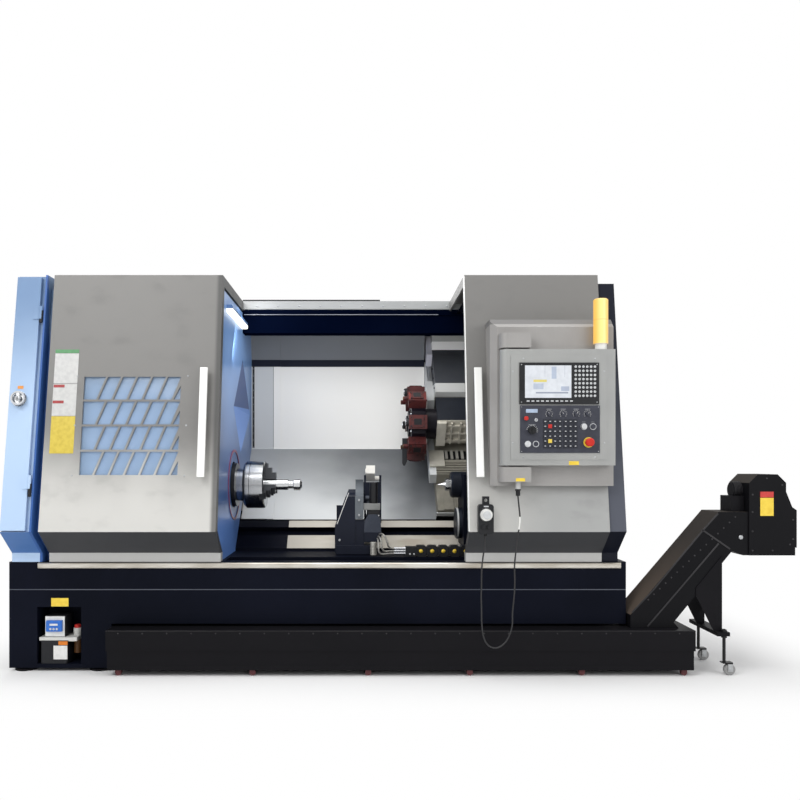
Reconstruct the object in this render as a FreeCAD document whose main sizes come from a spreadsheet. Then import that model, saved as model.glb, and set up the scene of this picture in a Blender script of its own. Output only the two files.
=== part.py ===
"""Slant-bed turning lathe with third slide, steady rest, tailstock and chip conveyor.

Frame: +X right along the spindle, +Y to the back, +Z up, millimetres.
The origin is on the floor under the middle of the whole machine.
"""
import FreeCAD, Part
import Sketcher
import math
import os

Vector = FreeCAD.Vector

# alias, value, what it is
SIZES = [
    # base casting
    ("base_left", -2055, "left end of the base, from the middle of the machine"),
    ("base_long", 3242, "length of the base"),
    ("base_front", -695, "front face of the base"),
    ("base_deep", 1600, "depth of the base"),
    ("foot_tall", 17.5, "height of the levelling feet"),
    ("foot_radius", 60, "radius of a levelling pad"),
    ("stud_radius", 15, "radius of a levelling stud"),
    ("base_top", 575, "top of the base"),
    ("base_wall", 40, "thickness of the base casting's top"),
    ("seam_high", 427, "height of the seam across the base front"),
    ("seam_wide", 5, "width and depth of that seam"),
    ("slot_front", 55, "front wall before the chip slot"),
    ("slot_wide", 150, "width of the chip slot"),
    ("slot_end", 90, "wall left of the right end of the base"),
    ("sill_deep", 13, "how far the sill rail stands out"),
    ("sill_tall", 29, "height of the sill rail"),
    ("sill_low", 542, "underside of the sill rail"),
    # lubrication unit in its recess
    ("recess_left", 147, "recess from the left end of the base"),
    ("recess_wide", 231, "width of the recess"),
    ("recess_low", 39, "floor of the recess"),
    ("recess_tall", 299, "height of the recess"),
    ("recess_deep", 160, "depth of the recess"),
    ("pump_wide", 106, "width of the lubrication pump"),
    ("pump_tall", 111, "height of the pump housing"),
    ("reservoir_tall", 118, "height of the oil reservoir"),
    ("flange_wide", 190, "width of the flange plate on the reservoir"),
    ("flange_thick", 20, "thickness of that flange plate"),
    ("filter_radius", 19, "radius of the oil filter"),
    # slanted bed
    ("slant_deg", 45, "slope of the bed"),
    ("spindle_y", -240, "spindle axis, front to back"),
    ("spindle_z", 968, "spindle axis above the floor"),
    ("bed_left", 255, "bed from the left end of the base"),
    ("bed_right", 87, "bed from the right end of the base"),
    ("way_drop", 300, "ground top of the tailstock ways below the spindle axis"),
    ("way_low", 223, "lower edge of the lower way, down the slope"),
    ("way_low_wide", 88, "width of the lower way"),
    ("way_gap", 63, "channel between the two ways"),
    ("way_high_wide", 52, "width of the upper way"),
    ("way_tall", 40, "height of a way above its channel"),
    ("bed_drop", 400, "bed face under the carriage below the spindle axis"),
    ("rail_tall", 38, "height of the carriage rails"),
    ("rail_wide", 80, "width of a carriage rail"),
    ("rail_low", 120, "lower carriage rail, up the slope"),
    ("rail_span", 440, "from one carriage rail to the next"),
    ("bed_wall", 100, "thickness of the bed casting under its slope"),
    ("bed_up", 760, "top edge of the bed, up the slope"),
    # front outline shared by doors, covers and cabinet
    ("strip_top", 622, "top of the upright strip over the base"),
    ("nose_z", 745, "height of the nose of the front"),
    ("nose_out", 140, "how far the nose stands before the base"),
    ("front_top", 2100, "top of the front"),
    ("front_top_y", -625, "top edge of the front, front to back"),
    ("roof_back", 70, "back edge of the door roofs"),
    ("door_gap", 0.3, "running gap under the doors"),
    ("door_sheet", 12, "thickness of the door panels"),
    ("door_rim", 55, "depth of the rim round a door"),
    ("cover_inset", 65, "inner front covers behind the door faces"),
    ("sheet", 6, "thickness of the covers"),
    # left door
    ("left_door_from", 211, "left door from the left end of the base"),
    ("left_door_wide", 900, "width of the left door"),
    ("window_from", 190, "grille from the left edge of the door"),
    ("window_wide", 506, "width of the grille"),
    ("window_low", 1033, "lower edge of the grille"),
    ("window_tall", 513, "height of the grille"),
    ("bar_wide", 11, "width of a grille bar"),
    ("bar_lean", 46, "how far a slanted bar leans over one row"),
    ("glass_thick", 6, "thickness of the window pane"),
    ("glass_edge", 20, "overlap of the pane behind the door"),
    ("handle_long", 572, "length of a door handle"),
    ("handle_wide", 40, "width of a door handle"),
    ("handle_thick", 16, "thickness of a handle bar"),
    ("handle_out", 34, "finger room behind a handle"),
    ("handle_up", 276, "foot of a handle above the nose, along the face"),
    ("left_handle_from", 804, "left handle from the left edge of its door"),
    # right door and its panel mount
    ("right_door_to", 128, "right door from the right end of the base"),
    ("right_door_wide", 714, "width of the right door"),
    ("right_handle_from", 36, "right handle from the left edge of its door"),
    ("mount_from", 107, "panel mount from the left edge of the door"),
    ("mount_wide", 619, "width of the panel mount"),
    ("mount_low", 979, "underside of the panel mount"),
    ("mount_tall", 849, "height of the panel mount"),
    ("mount_wall", 12, "wall of the panel mount"),
    ("mount_bevel", 45, "bevel of the panel mount"),
    ("mount_face", -850, "front face of the panel mount"),
    ("arm_from", 72, "hinge axis from the left edge of the mount"),
    ("arm_tall", 74, "height of a hinge arm"),
    ("arm_long", 115, "length of a hinge arm right of the axis"),
    ("pin_radius", 12, "radius of the hinge pins"),
    ("pin_long", 24, "depth of the hinge pins in the box"),
    ("pin_gap", 0.1, "running gap round the hinge pins"),
    # control box
    ("box_long", 535, "control box right of its hinge axis"),
    ("box_low", 1083, "underside of the control box"),
    ("box_tall", 577, "height of the control box"),
    ("box_half", 35, "half the depth of the control box"),
    ("box_gap", 5, "gap between the mount and the box"),
    ("arm_gap", 8, "gap between the arms and the box"),
    ("panel_from", 55, "operator panel from the hinge axis"),
    ("panel_wide", 394, "width of the operator panel and display"),
    ("panel_low", 62, "operator panel above the underside of the box"),
    ("panel_tall", 235, "height of the operator panel"),
    ("panel_thick", 4, "thickness of the operator panel"),
    ("display_tall", 206, "height of the display unit"),
    ("display_thick", 6, "thickness of the display unit"),
    ("screen_wide", 232, "width of the screen"),
    ("screen_tall", 163, "height of the screen"),
    ("dial_radius", 19, "radius of the mode knob"),
    ("dial_tall", 20, "height of the mode knob"),
    ("stop_radius", 21, "radius of the emergency stop"),
    ("stop_tall", 26, "height of the emergency stop"),
    ("key_pitch", 12.2, "pitch of the key grid"),
    ("key_size", 8, "width of a key"),
    ("lamp_radius", 36, "radius of the signal lamp"),
    ("lamp_tall", 222, "height of the signal lamp lens"),
    ("lamp_base", 32, "height of the signal lamp foot"),
    # pendant and its cable
    ("cable_radius", 4, "radius of the pendant cable"),
    ("gland_radius", 14, "radius of the cable gland"),
    ("gland_tall", 70, "length of the cable gland"),
    ("pendant_wide", 77, "width of the handwheel pendant"),
    ("pendant_tall", 150, "height of the pendant body"),
    ("pendant_deep", 40, "depth of the pendant"),
    ("wheel_radius", 30, "radius of the handwheel"),
    ("wheel_tall", 14, "height of the handwheel"),
    # left end cabinet
    ("cabinet_from", 15, "cabinet from the left end of the base"),
    ("cabinet_wide", 160, "width of the left end cabinet"),
    ("cabinet_wall", 12, "thickness of the cabinet walls"),
    ("back_y", 880, "rear covers, front to back"),
    ("leaf_thick", 20, "thickness of the cabinet door"),
    ("hinge_radius", 9, "radius of the cabinet hinges"),
    ("lock_radius", 40, "radius of the round lock"),
    ("lock_up", 690, "round lock above the nose, along the face"),
    # covers, rail and beam
    ("end_from", 137, "right end cover from the right end of the base"),
    ("end_thick", 98, "thickness of the right end cover"),
    ("end_drop", 45, "top of the right end cover below the doors"),
    ("relief_deep", 60, "depth of the pressed relief in the headstock wall"),
    ("wall_from", 1105, "headstock wall from the left end of the base"),
    ("rail_strip", 50, "height of the top rail"),
    ("rail_thick", 6, "thickness of the top rail"),
    ("beam_deep", 100, "depth of the top beam"),
    ("beam_tall", 147, "height of the top beam"),
    ("light_long", 550, "length of the work light"),
    ("light_wide", 34, "width of the work light"),
    ("vent_count", 8, "louvres in the rear cover"),
    ("rear_box_deep", 88, "electrical cabinet behind the rear cover"),
    # chip guards
    ("guard_drop", 347, "moving guard below the spindle axis"),
    ("guard_sheet", 4, "thickness of the guards"),
    ("guard_gap", 2, "gap between the fixed and the moving guard"),
    ("guard_low", 27, "lower edge of the guards, up the slope"),
    ("guard_back", 475, "upright part of the guards, front to back"),
    ("guard_under", 309, "upright part of the guards below the front's top"),
    ("guard_lip", 175, "height of the forward lip of the guards"),
    ("guard_from", 1262, "moving guard from the left end of the base"),
    ("guard_lap", 40, "overlap of the two guards"),
    # headstock, spindle and chuck
    ("head_long", 700, "length of the headstock"),
    ("head_gap", 60, "headstock body to its wall"),
    ("head_top", 1150, "top of the headstock"),
    ("head_front", -430, "front of the headstock"),
    ("head_back", 10, "back of the headstock"),
    ("nose_radius", 110, "radius of the headstock nose"),
    ("shaft_radius", 80, "radius of the spindle"),
    ("bore_radius", 40, "radius of the spindle bore"),
    ("shaft_gap", 0.05, "running gap of the spindle"),
    ("pulley_radius", 130, "radius of the spindle pulley"),
    ("pulley_wide", 60, "width of the spindle pulley"),
    ("chuck_radius", 137, "radius of the chuck"),
    ("chuck_long", 121, "length of the chuck"),
    ("chuck_flange", 125, "radius of the flange behind the chuck"),
    ("chuck_neck", 95, "radius of the neck behind the chuck"),
    ("jaw_wide", 42, "width of a jaw"),
    ("jaw_tall", 92, "radial height of a jaw"),
    ("jaw_out", 60, "how far a jaw stands before the chuck"),
    ("arbor_radius", 32, "radius of the arbor in the chuck"),
    ("arbor_long", 211, "length of the arbor before the chuck"),
    # carriage, cross slide and turret
    ("carriage_from", 2317, "carriage from the left end of the base"),
    ("carriage_long", 438, "length of the carriage"),
    ("carriage_low", 20, "lower edge of the carriage, up the slope"),
    ("carriage_up", 1100, "upper edge of the carriage, up the slope"),
    ("saddle_drop", 250, "top of the carriage below the spindle axis"),
    ("slide_gap", 0.3, "gap in the slideways"),
    ("dovetail_tall", 9, "height of the cross slide ways"),
    ("dovetail_wide", 60, "width of a cross slide way"),
    ("cross_low", 240, "lower edge of the cross slide, up the slope"),
    ("cross_face", 160, "front face of the cross slide below the axis"),
    ("flank_thick", 42, "thickness of the cross slide flank"),
    ("turret_up", 530, "turret axis from the spindle axis, up the slope"),
    ("turret_long", 236, "length of the turret housing"),
    ("disc_radius", 165, "radius of the tool disc across its flats"),
    ("disc_long", 90, "thickness of the tool disc"),
    ("hub_radius", 95, "radius of the turret hub"),
    ("hub_long", 72, "length of the turret hub"),
    ("station_count", 8, "stations of the tool disc"),
    ("holder_tall", 66, "radial height of a tool holder"),
    ("holder_long", 110, "length of a tool holder"),
    ("socket_radius", 20, "radius of a tool socket"),
    # steady rest
    ("steady_from", 1701, "steady rest from the left end of the base"),
    ("steady_casting", 114, "thickness of the steady casting"),
    ("steady_top", 938, "top of the steady casting"),
    ("steady_front", -400, "front of steady rest and tailstock"),
    ("steady_back", -140, "back of steady rest and tailstock"),
    ("apron_low", 585, "underside of their aprons"),
    ("jaw_room", 62, "open radius of the steady rest"),
    ("roller_radius", 16, "radius of a steady roller"),
    # tailstock
    ("tail_from", 2370, "tailstock barrel from the left end of the base"),
    ("tail_long", 440, "length of the tailstock barrel"),
    ("barrel_radius", 76, "radius of the tailstock barrel"),
    ("quill_radius", 38, "radius of the quill"),
    ("quill_out", 30, "how far the quill stands out"),
    ("centre_long", 45, "length of the centre in the quill"),
    # coolant tank and chip conveyor
    ("tank_from", 547, "tank from the left end of the base"),
    ("tank_past", 315, "tank past the right end of the base"),
    ("tank_out", 100, "how far the tank stands before the base"),
    ("tank_deep", 480, "depth of the tank"),
    ("tank_low", 32, "underside of the tank"),
    ("tank_split", 131, "step in the tank wall"),
    ("tank_top", 236, "top of the tank"),
    ("tank_rim", 6, "how far the upper wall stands out"),
    ("tank_wheel", 16, "radius of a tank caster"),
    ("conveyor_front", -740, "front of the chip conveyor"),
    ("conveyor_wide", 200, "width of the chip conveyor"),
    ("stance_wide", 300, "from the front of the conveyor to the back of its stand"),
    ("incline_back", 88, "lower edge of the incline left of the tank's right end"),
    ("neck_low", 636, "underside of the conveyor neck"),
    ("neck_top", 840, "top of the conveyor neck"),
    ("neck_past", 214, "start of the conveyor neck past the tank"),
    ("head_past", 300, "left side of the conveyor head past the tank"),
    ("head_low", 615, "underside of the conveyor head"),
    ("head_high", 1036, "top of the conveyor head"),
    ("head_bevel", 45, "bevel of the conveyor head"),
    ("head_wide", 247, "width of the conveyor head"),
    ("motor_radius", 42, "radius of the conveyor motor"),
    ("leg_past", 161, "right edge of the conveyor leg past the tank"),
    ("leg_wide", 40, "width of a leg plate at its foot"),
    ("leg_low", 215, "foot of the conveyor leg"),
    ("leg_thick", 5, "thickness of a leg plate"),
    ("stem_radius", 8, "radius of a caster screw"),
    ("castor_radius", 29, "radius of a swivel caster wheel"),
    ("castor_wide", 22, "width of a swivel caster wheel"),
    ("castor_trail", 26, "trail of a swivel caster"),
    ("castor_pin", 5, "radius of a caster axle"),
    # drag chain
    ("chain_block", 55, "length of the end block of the drag chain"),
    ("chain_links", 10, "links of the drag chain"),
    ("chain_pitch", 62, "pitch of the drag chain"),
    ("chain_tall", 62, "height of a chain link"),
    ("chain_deep", 55, "width of the drag chain"),
    ("chain_corner", 9, "slope cut from the corners of a chain link"),
    ("chain_front", -478, "front of the drag chain"),
]

document = FreeCAD.newDocument("lathe")
sheet = document.addObject("Spreadsheet::Sheet", "Sizes")
for row, (alias, value, note) in enumerate(SIZES, start=1):
    sheet.set("A%d" % row, alias)
    sheet.set("B%d" % row, str(value))
    sheet.setAlias("B%d" % row, alias)
    sheet.set("C%d" % row, note)
document.recompute()


class Size:
    """A length made of cells: its expression for the document and its value."""

    def __init__(self, text, value):
        self.text = text
        self.value = value

    def __add__(self, other):
        other = size(other)
        return Size("(%s + %s)" % (self.text, other.text), self.value + other.value)

    def __sub__(self, other):
        other = size(other)
        return Size("(%s - %s)" % (self.text, other.text), self.value - other.value)

    def __mul__(self, other):
        other = size(other)
        return Size("(%s * %s)" % (self.text, other.text), self.value * other.value)

    def __truediv__(self, other):
        other = size(other)
        return Size("(%s / %s)" % (self.text, other.text), self.value / other.value)

    def __neg__(self):
        return size(0) - self

    __radd__ = __add__

    def __rsub__(self, other):
        return size(other) - self

    __rmul__ = __mul__


def size(number):
    """Any number as a Size."""
    if isinstance(number, Size):
        return number
    return Size("(%.6f)" % number, float(number))


class Cells:
    """The spreadsheet's cells, each read by its alias."""

    def __getattr__(self, alias):
        return Size("Sizes." + alias, float(sheet.get(alias)))


S = Cells()


def sine(angle):
    return Size("sin(%s)" % angle.text, math.sin(math.radians(angle.value)))


def cosine(angle):
    return Size("cos(%s)" % angle.text, math.cos(math.radians(angle.value)))


def slope_angle(rise, run):
    text = "(atan(%s / %s) / 1 deg)" % (rise.text, run.text)
    return Size(text, math.degrees(math.atan(rise.value / run.value)))


def bind(thing, path, length):
    thing.setExpression(path, size(length).text)


def place(thing, x, y, z, tilt=None):
    """Put a thing at a point, turned about X by an angle."""
    if tilt is not None:
        turn = FreeCAD.Rotation(Vector(1, 0, 0), 1)
        thing.Placement = FreeCAD.Placement(Vector(0, 0, 0), turn)
        bind(thing, "Placement.Rotation.Angle", tilt)
    bind(thing, "Placement.Base.x", x)
    bind(thing, "Placement.Base.y", y)
    bind(thing, "Placement.Base.z", z)
    return thing


def block(x, y, z):
    """A box between pairs of planes."""
    thing = document.addObject("Part::Box", "Block")
    bind(thing, "Length", x[1] - x[0])
    bind(thing, "Width", y[1] - y[0])
    bind(thing, "Height", z[1] - z[0])
    return place(thing, x[0], y[0], z[0])


TURNS = {
    "x": FreeCAD.Rotation(Vector(0, 1, 0), 90),
    "y": FreeCAD.Rotation(Vector(1, 0, 0), -90),
    "z": FreeCAD.Rotation(),
}


def rod(axis, radius, span, centre):
    """A cylinder along x, y or z; centre holds the other two coordinates."""
    thing = document.addObject("Part::Cylinder", "Rod")
    bind(thing, "Radius", radius)
    bind(thing, "Height", size(span[1]) - span[0])
    thing.Placement = FreeCAD.Placement(Vector(0, 0, 0), TURNS[axis])
    first = {
        "x": (span[0], centre[0], centre[1]),
        "y": (centre[0], span[0], centre[1]),
        "z": (centre[0], centre[1], span[0]),
    }[axis]
    return place(thing, *first)


def cone(axis, radii, span, centre):
    """A cone from the first radius at the start of its span to the second at its end."""
    thing = document.addObject("Part::Cone", "Taper")
    bind(thing, "Radius1", radii[0])
    bind(thing, "Radius2", radii[1])
    bind(thing, "Height", size(span[1]) - span[0])
    thing.Placement = FreeCAD.Placement(Vector(0, 0, 0), TURNS[axis])
    first = {"x": (span[0], centre[0], centre[1]), "z": (centre[0], centre[1], span[0])}[axis]
    return place(thing, *first)


def outline(body, plane, points):
    """A closed polygon on one of a body's origin planes, every corner bound to cells."""
    sketch = body.newObject("Sketcher::SketchObject", "Outline")
    role = plane + "_Plane"
    sketch.AttachmentSupport = [(next(f for f in body.Origin.OriginFeatures if f.Role == role), "")]
    sketch.MapMode = "FlatFace"
    corners = [Vector(size(a).value, size(b).value, 0) for a, b in points]
    count = len(corners)
    for i in range(count):
        sketch.addGeometry(Part.LineSegment(corners[i], corners[(i + 1) % count]))
    for i in range(count):
        sketch.addConstraint(Sketcher.Constraint("Coincident", i, 2, (i + 1) % count, 1))
    for i, (a, b) in enumerate(points):
        for kind, length in (("DistanceX", size(a)), ("DistanceY", size(b))):
            number = sketch.addConstraint(Sketcher.Constraint(kind, -1, 1, i, 1, length.value))
            sketch.setExpression("Constraints[%d]" % number, length.text)
    return sketch


def prism(plane, points, span):
    """A polygon on the YZ, XZ or XY plane, padded between two places on the third axis."""
    body = document.addObject("PartDesign::Body", "Profile")
    pad = body.newObject("PartDesign::Pad", "Pad")
    pad.Profile = outline(body, plane, points)
    bind(pad, "Length", size(span[1]) - span[0])
    if plane == "YZ":
        return place(body, span[0], 0, 0)
    if plane == "XZ":
        return place(body, 0, span[1], 0)
    return place(body, 0, 0, span[0])


def turned(profile, centre):
    """A profile of (x, radius) points revolved about an axis along X."""
    body = document.addObject("PartDesign::Body", "Turned")
    sketch = outline(body, "XY", profile)
    revolution = body.newObject("PartDesign::Revolution", "Revolution")
    revolution.Profile = sketch
    revolution.ReferenceAxis = (sketch, ["H_Axis"])
    revolution.Angle = 360
    return place(body, 0, centre[0], centre[1])


def fuse(*things):
    """One solid, or a group of solids, of several things."""
    thing = document.addObject("Part::MultiFuse", "Joined")
    thing.Shapes = list(things)
    thing.Refine = True
    return thing


def cut(base, *tools):
    """A thing with others taken out of it."""
    thing = document.addObject("Part::Cut", "Trimmed")
    thing.Base = base
    thing.Tool = tools[0] if len(tools) == 1 else fuse(*tools)
    thing.Refine = True
    return thing


def bevel(base, depth, wanted):
    """Chamfer the edges of a shape that wanted() picks."""
    document.recompute()
    thing = document.addObject("Part::Chamfer", "Bevelled")
    thing.Base = base
    numbers = [n for n, edge in enumerate(base.Shape.Edges, start=1) if wanted(edge)]
    thing.Edges = [(n, depth.value, depth.value) for n in numbers]
    return thing


def rounded(base, radius, wanted):
    """Round the edges of a shape that wanted() picks."""
    document.recompute()
    thing = document.addObject("Part::Fillet", "Rounded")
    thing.Base = base
    numbers = [n for n, edge in enumerate(base.Shape.Edges, start=1) if wanted(edge)]
    thing.Edges = [(n, radius.value, radius.value) for n in numbers]
    return thing


def along(edge, axis):
    """Whether an edge is straight and runs along a direction."""
    if not isinstance(edge.Curve, Part.Line):
        return False
    return abs(abs(edge.Curve.Direction.dot(axis)) - 1) < 1e-6


X_AXIS = Vector(1, 0, 0)
Y_AXIS = Vector(0, 1, 0)
Z_AXIS = Vector(0, 0, 1)

# ---------------------------------------------------------------- shared lines

base_right = S.base_left + S.base_long
base_rear = S.base_front + S.base_deep
nose_y = S.base_front - S.nose_out
lean = slope_angle(S.front_top_y - nose_y, S.front_top - S.nose_z)
slant_cos = cosine(S.slant_deg)
slant_sin = sine(S.slant_deg)
lean_cos = cosine(lean)
lean_sin = sine(lean)
door_bottom = S.base_top + S.door_gap
guard_top = S.front_top - S.guard_under
tank_left = S.base_left + S.tank_from
tank_right = base_right + S.tank_past
lid_right = tank_right + S.tank_rim
incline_foot = lid_right - S.incline_back
neck_from = lid_right + S.neck_past
head_from = lid_right + S.head_past
head_right = head_from + S.head_wide
leg_right = lid_right + S.leg_past


def slant(up, out):
    """A (y, z) point, up the bed's slope and out from it, from the spindle axis."""
    return (S.spindle_y + up * slant_cos - out * slant_sin, S.spindle_z + up * slant_sin + out * slant_cos)


def face(out, up):
    """A (y, z) point, out from the leaning front and up along it, from the nose."""
    return (nose_y - out * lean_cos + up * lean_sin, S.nose_z + out * lean_sin + up * lean_cos)


def face_y(z):
    """Where the leaning front is at a height."""
    return nose_y + (z - S.nose_z) * (S.front_top_y - nose_y) / (S.front_top - S.nose_z)


def face_block(x, out, up):
    """A box that lies on the leaning front: out from it and up along it."""
    thing = document.addObject("Part::Box", "OnFront")
    bind(thing, "Length", x[1] - x[0])
    bind(thing, "Width", size(out[1]) - out[0])
    bind(thing, "Height", size(up[1]) - up[0])
    y, z = face(size(out[1]), size(up[0]))
    return place(thing, x[0], y, z, -lean)


def slant_block(x, up, out):
    """A box that lies on the bed's slope: up along it and out from it."""
    thing = document.addObject("Part::Box", "OnSlope")
    bind(thing, "Length", x[1] - x[0])
    bind(thing, "Width", size(up[1]) - up[0])
    bind(thing, "Height", size(out[1]) - out[0])
    y, z = slant(size(up[0]), size(out[0]))
    return place(thing, x[0], y, z, S.slant_deg)


def slant_prism(points, span):
    """A polygon of (up, out) points on the slope, padded along X."""
    return prism("YZ", [slant(size(a), size(b)) for a, b in points], span)


def front_line(inset, bottom, top, back):
    """The front outline from its foot to the back of its roof, set in from the doors' faces."""
    return [
        (S.base_front + inset, bottom),
        (S.base_front + inset, S.strip_top),
        (nose_y + inset, S.nose_z),
        (face_y(top) + inset, top),
        (back, top),
    ]


def front_sheet(inset, thick, bottom, back, span):
    """A folded sheet that follows the front and the roof."""
    outer = front_line(size(inset), bottom, S.front_top - inset, back)
    inner = front_line(inset + thick, bottom, S.front_top - inset - thick, back)
    return prism("YZ", outer + inner[::-1], span)


NODES = []


def node(label, thing):
    """Name a finished sub-part after its node."""
    thing.Label = label
    NODES.append(thing)
    return thing


# ---------------------------------------------------------------- base and bed


def make_base():
    body = block((S.base_left, base_right), (S.base_front, base_rear), (S.foot_tall, S.base_top))
    bay_left = S.base_left + S.tank_from - 10
    bay_back = S.base_front - S.tank_out + S.tank_deep + 10
    bay = block((bay_left, base_right + 1), (S.base_front - 1, bay_back), (S.foot_tall - 1, S.tank_top + 14))
    slot_left = S.base_left + S.wall_from + 20
    slot_y = S.base_front + S.slot_front
    slot = block((slot_left, base_right - S.slot_end), (slot_y, slot_y + S.slot_wide), (S.foot_tall, S.base_top + 1))
    left = S.base_left + S.recess_left
    recess_y = S.base_front + S.recess_deep
    recess_z = (S.recess_low, S.recess_low + S.recess_tall)
    recess = block((left, left + S.recess_wide), (S.base_front - 1, recess_y), recess_z)
    seam_z = (S.seam_high, S.seam_high + S.seam_wide)
    seam = block((S.base_left - 1, base_right + 1), (S.base_front - 1, S.base_front + S.seam_wide), seam_z)
    pockets = []
    pocket_z = (S.foot_tall - 1, S.base_top - S.base_wall)
    for i in range(4):
        pocket_left = S.base_left + S.base_long * (0.031 + 0.236 * i)
        pocket_x = (pocket_left, pocket_left + S.base_long * 0.2175)
        pocket_y = (base_rear - S.base_deep * 0.628, base_rear - S.base_deep * 0.066)
        pockets.append(block(pocket_x, pocket_y, pocket_z))
    corner = block((S.base_left + 60, bay_left - 60), (recess_y + 40, bay_back + 150), pocket_z)
    node("base", cut(body, bay, slot, recess, seam, corner, *pockets))
    sill_x = (S.base_left + S.cabinet_from + S.recess_left - 7, base_right - 30)
    sill_y = (S.base_front - S.sill_deep, S.base_front)
    rail = block(sill_x, sill_y, (S.sill_low, S.sill_low + S.sill_tall))
    node("sill_rail", bevel(rail, size(4), lambda e: along(e, X_AXIS) and e.Vertexes[0].Y < S.base_front.value - 1))


def make_feet():
    pads = []
    places = [
        (S.base_left + 70, S.base_front + 60),
        (S.base_left + S.tank_from - 80, S.base_front + 60),
    ]
    for along_base in (0.03, 0.35, 0.66, 0.97):
        places.append((S.base_left + S.base_long * along_base, base_rear - 80))
    for along_base in (0.35, 0.97):
        places.append((S.base_left + S.base_long * along_base, S.base_front + S.base_deep * 0.35))
    for x, y in places:
        pad = rod("z", S.foot_radius, (0, S.foot_tall * 0.6), (x, y))
        stud = rod("z", S.stud_radius, (0, S.foot_tall), (x, y))
        pads.append(fuse(pad, stud))
    node("levelling_feet", fuse(*pads))


def make_bed():
    left = S.base_left + S.bed_left
    right = base_right - S.bed_right
    low_top = -S.way_drop
    channel = -S.way_drop - S.way_tall
    first = -S.way_low
    second = first + S.way_low_wide
    third = second + S.way_gap
    fourth = third + S.way_high_wide
    top_y, top_z = slant(S.bed_up, -S.bed_drop)
    foot_y, foot_z = slant(first - 10, low_top)
    points = [
        (foot_y, S.base_top),
        (foot_y, foot_z),
        slant(second, low_top),
        slant(second, channel),
        slant(third, channel),
        slant(third, low_top),
        slant(fourth, low_top),
        slant(fourth, -S.bed_drop),
        (top_y, top_z),
        (top_y, S.base_top),
    ]
    casting = prism("YZ", points, (left, right))
    rails = []
    for start in (S.rail_low, S.rail_low + S.rail_span):
        rail_out = (-S.bed_drop - 5, -S.bed_drop + S.rail_tall)
        rails.append(slant_block((left, right), (start, start + S.rail_wide), rail_out))
    pockets = []
    skin = (top_z - top_y) - S.bed_wall * 1.4
    for side in (0.18, 0.5, 0.82):
        middle = left + (right - left) * side
        rib_line = [
            (top_y + 1, S.base_top + 60),
            (top_y + 1, top_y + 1 + skin),
            (S.base_top + 60 - skin, S.base_top + 60),
        ]
        pockets.append(prism("YZ", rib_line, (middle - 380, middle + 380)))
    node("bed", cut(fuse(casting, *rails), *pockets))


# ---------------------------------------------------------------- covers


def make_covers():
    wall = S.base_left + S.wall_from
    cover_left = S.base_left + S.cabinet_from + S.cabinet_wide
    left = front_sheet(S.cover_inset, S.sheet, S.base_top, S.roof_back, (cover_left, wall))
    node("front_cover_left", left)
    end_left = base_right - S.end_from
    right = front_sheet(S.cover_inset, S.sheet, S.base_top, S.roof_back, (end_left - 660, end_left))
    node("front_cover_right", right)
    end_top = S.front_top - S.end_drop
    shell_line = front_line(size(15), S.base_top, end_top, S.back_y) + [(S.back_y, S.base_top)]
    inner_line = front_line(size(60), S.base_top, end_top - 15, S.back_y) + [(S.back_y, S.base_top)]
    shell = fuse(
        prism("YZ", inner_line, (end_left, end_left + 20)),
        prism("YZ", shell_line, (end_left + 14, end_left + S.end_thick)),
    )
    hollow_line = front_line(size(72), S.base_top - 1, end_top - 27, S.back_y - 12)
    hollow_line.append((S.back_y - 12, S.base_top - 1))
    hollow = prism("YZ", hollow_line, (end_left - 1, end_left + S.end_thick - S.sheet))
    node("end_cover_right", cut(shell, hollow))


def make_rear_cover():
    left = S.base_left + S.cabinet_from + S.cabinet_wide
    right = base_right - S.end_from
    top = S.front_top - S.end_drop
    roof_front = S.roof_back + S.rail_thick + S.beam_deep + 4
    points = [
        (S.back_y, S.base_top),
        (S.back_y, top),
        (roof_front, top),
        (roof_front, top - S.sheet),
        (S.back_y - S.sheet, top - S.sheet),
        (S.back_y - S.sheet, S.base_top),
    ]
    cover = prism("YZ", points, (left, right))
    middle = (left + right) / 2
    slots = []
    for i in range(int(S.vent_count.value)):
        low = S.base_top + 900 + size(i) * 36
        slots.append(block((left + 250, left + 650), (S.back_y - 20, S.back_y + 20), (low, low + 14)))
    box_x = (middle - S.base_long * 0.03, middle + S.base_long * 0.31)
    box = block(box_x, (S.back_y, S.back_y + S.rear_box_deep), (S.base_top + 150, top - 200))
    box = rounded(box, size(12), lambda e: along(e, Z_AXIS) and e.Vertexes[0].Y > S.back_y.value + 1)
    inside_y = (S.back_y - S.sheet - 1, S.back_y + S.rear_box_deep - 8)
    inside = block((box_x[0] + 10, box_x[1] - 10), inside_y, (S.base_top + 160, top - 210))
    node("rear_cover", cut(fuse(cut(cover, *slots), box), inside))


def make_beam():
    wall = S.base_left + S.wall_from
    right = base_right - S.end_from
    left = S.base_left + S.cabinet_from + S.cabinet_wide
    rail_back = S.roof_back + S.rail_thick + 4
    top = S.front_top - S.end_drop
    beam = block((left, right), (rail_back, rail_back + S.beam_deep), (top - S.beam_tall, top))
    lip_low = top - 36
    lip = block((wall, right), (rail_back - 8, rail_back + 1), (lip_low, lip_low + 6))
    node("top_beam", fuse(beam, lip))
    rail_top = S.front_top + 7
    rail = block((left, right), (rail_back - S.rail_thick, rail_back), (rail_top - S.rail_strip, rail_top))
    cap = block((wall, wall + 860), (rail_back, rail_back + 60), (rail_top, rail_top + 10))
    shelf = block((left, right), (rail_back, rail_back + 60), (top, rail_top))
    node("top_rail", fuse(rail, shelf, cap))


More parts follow.
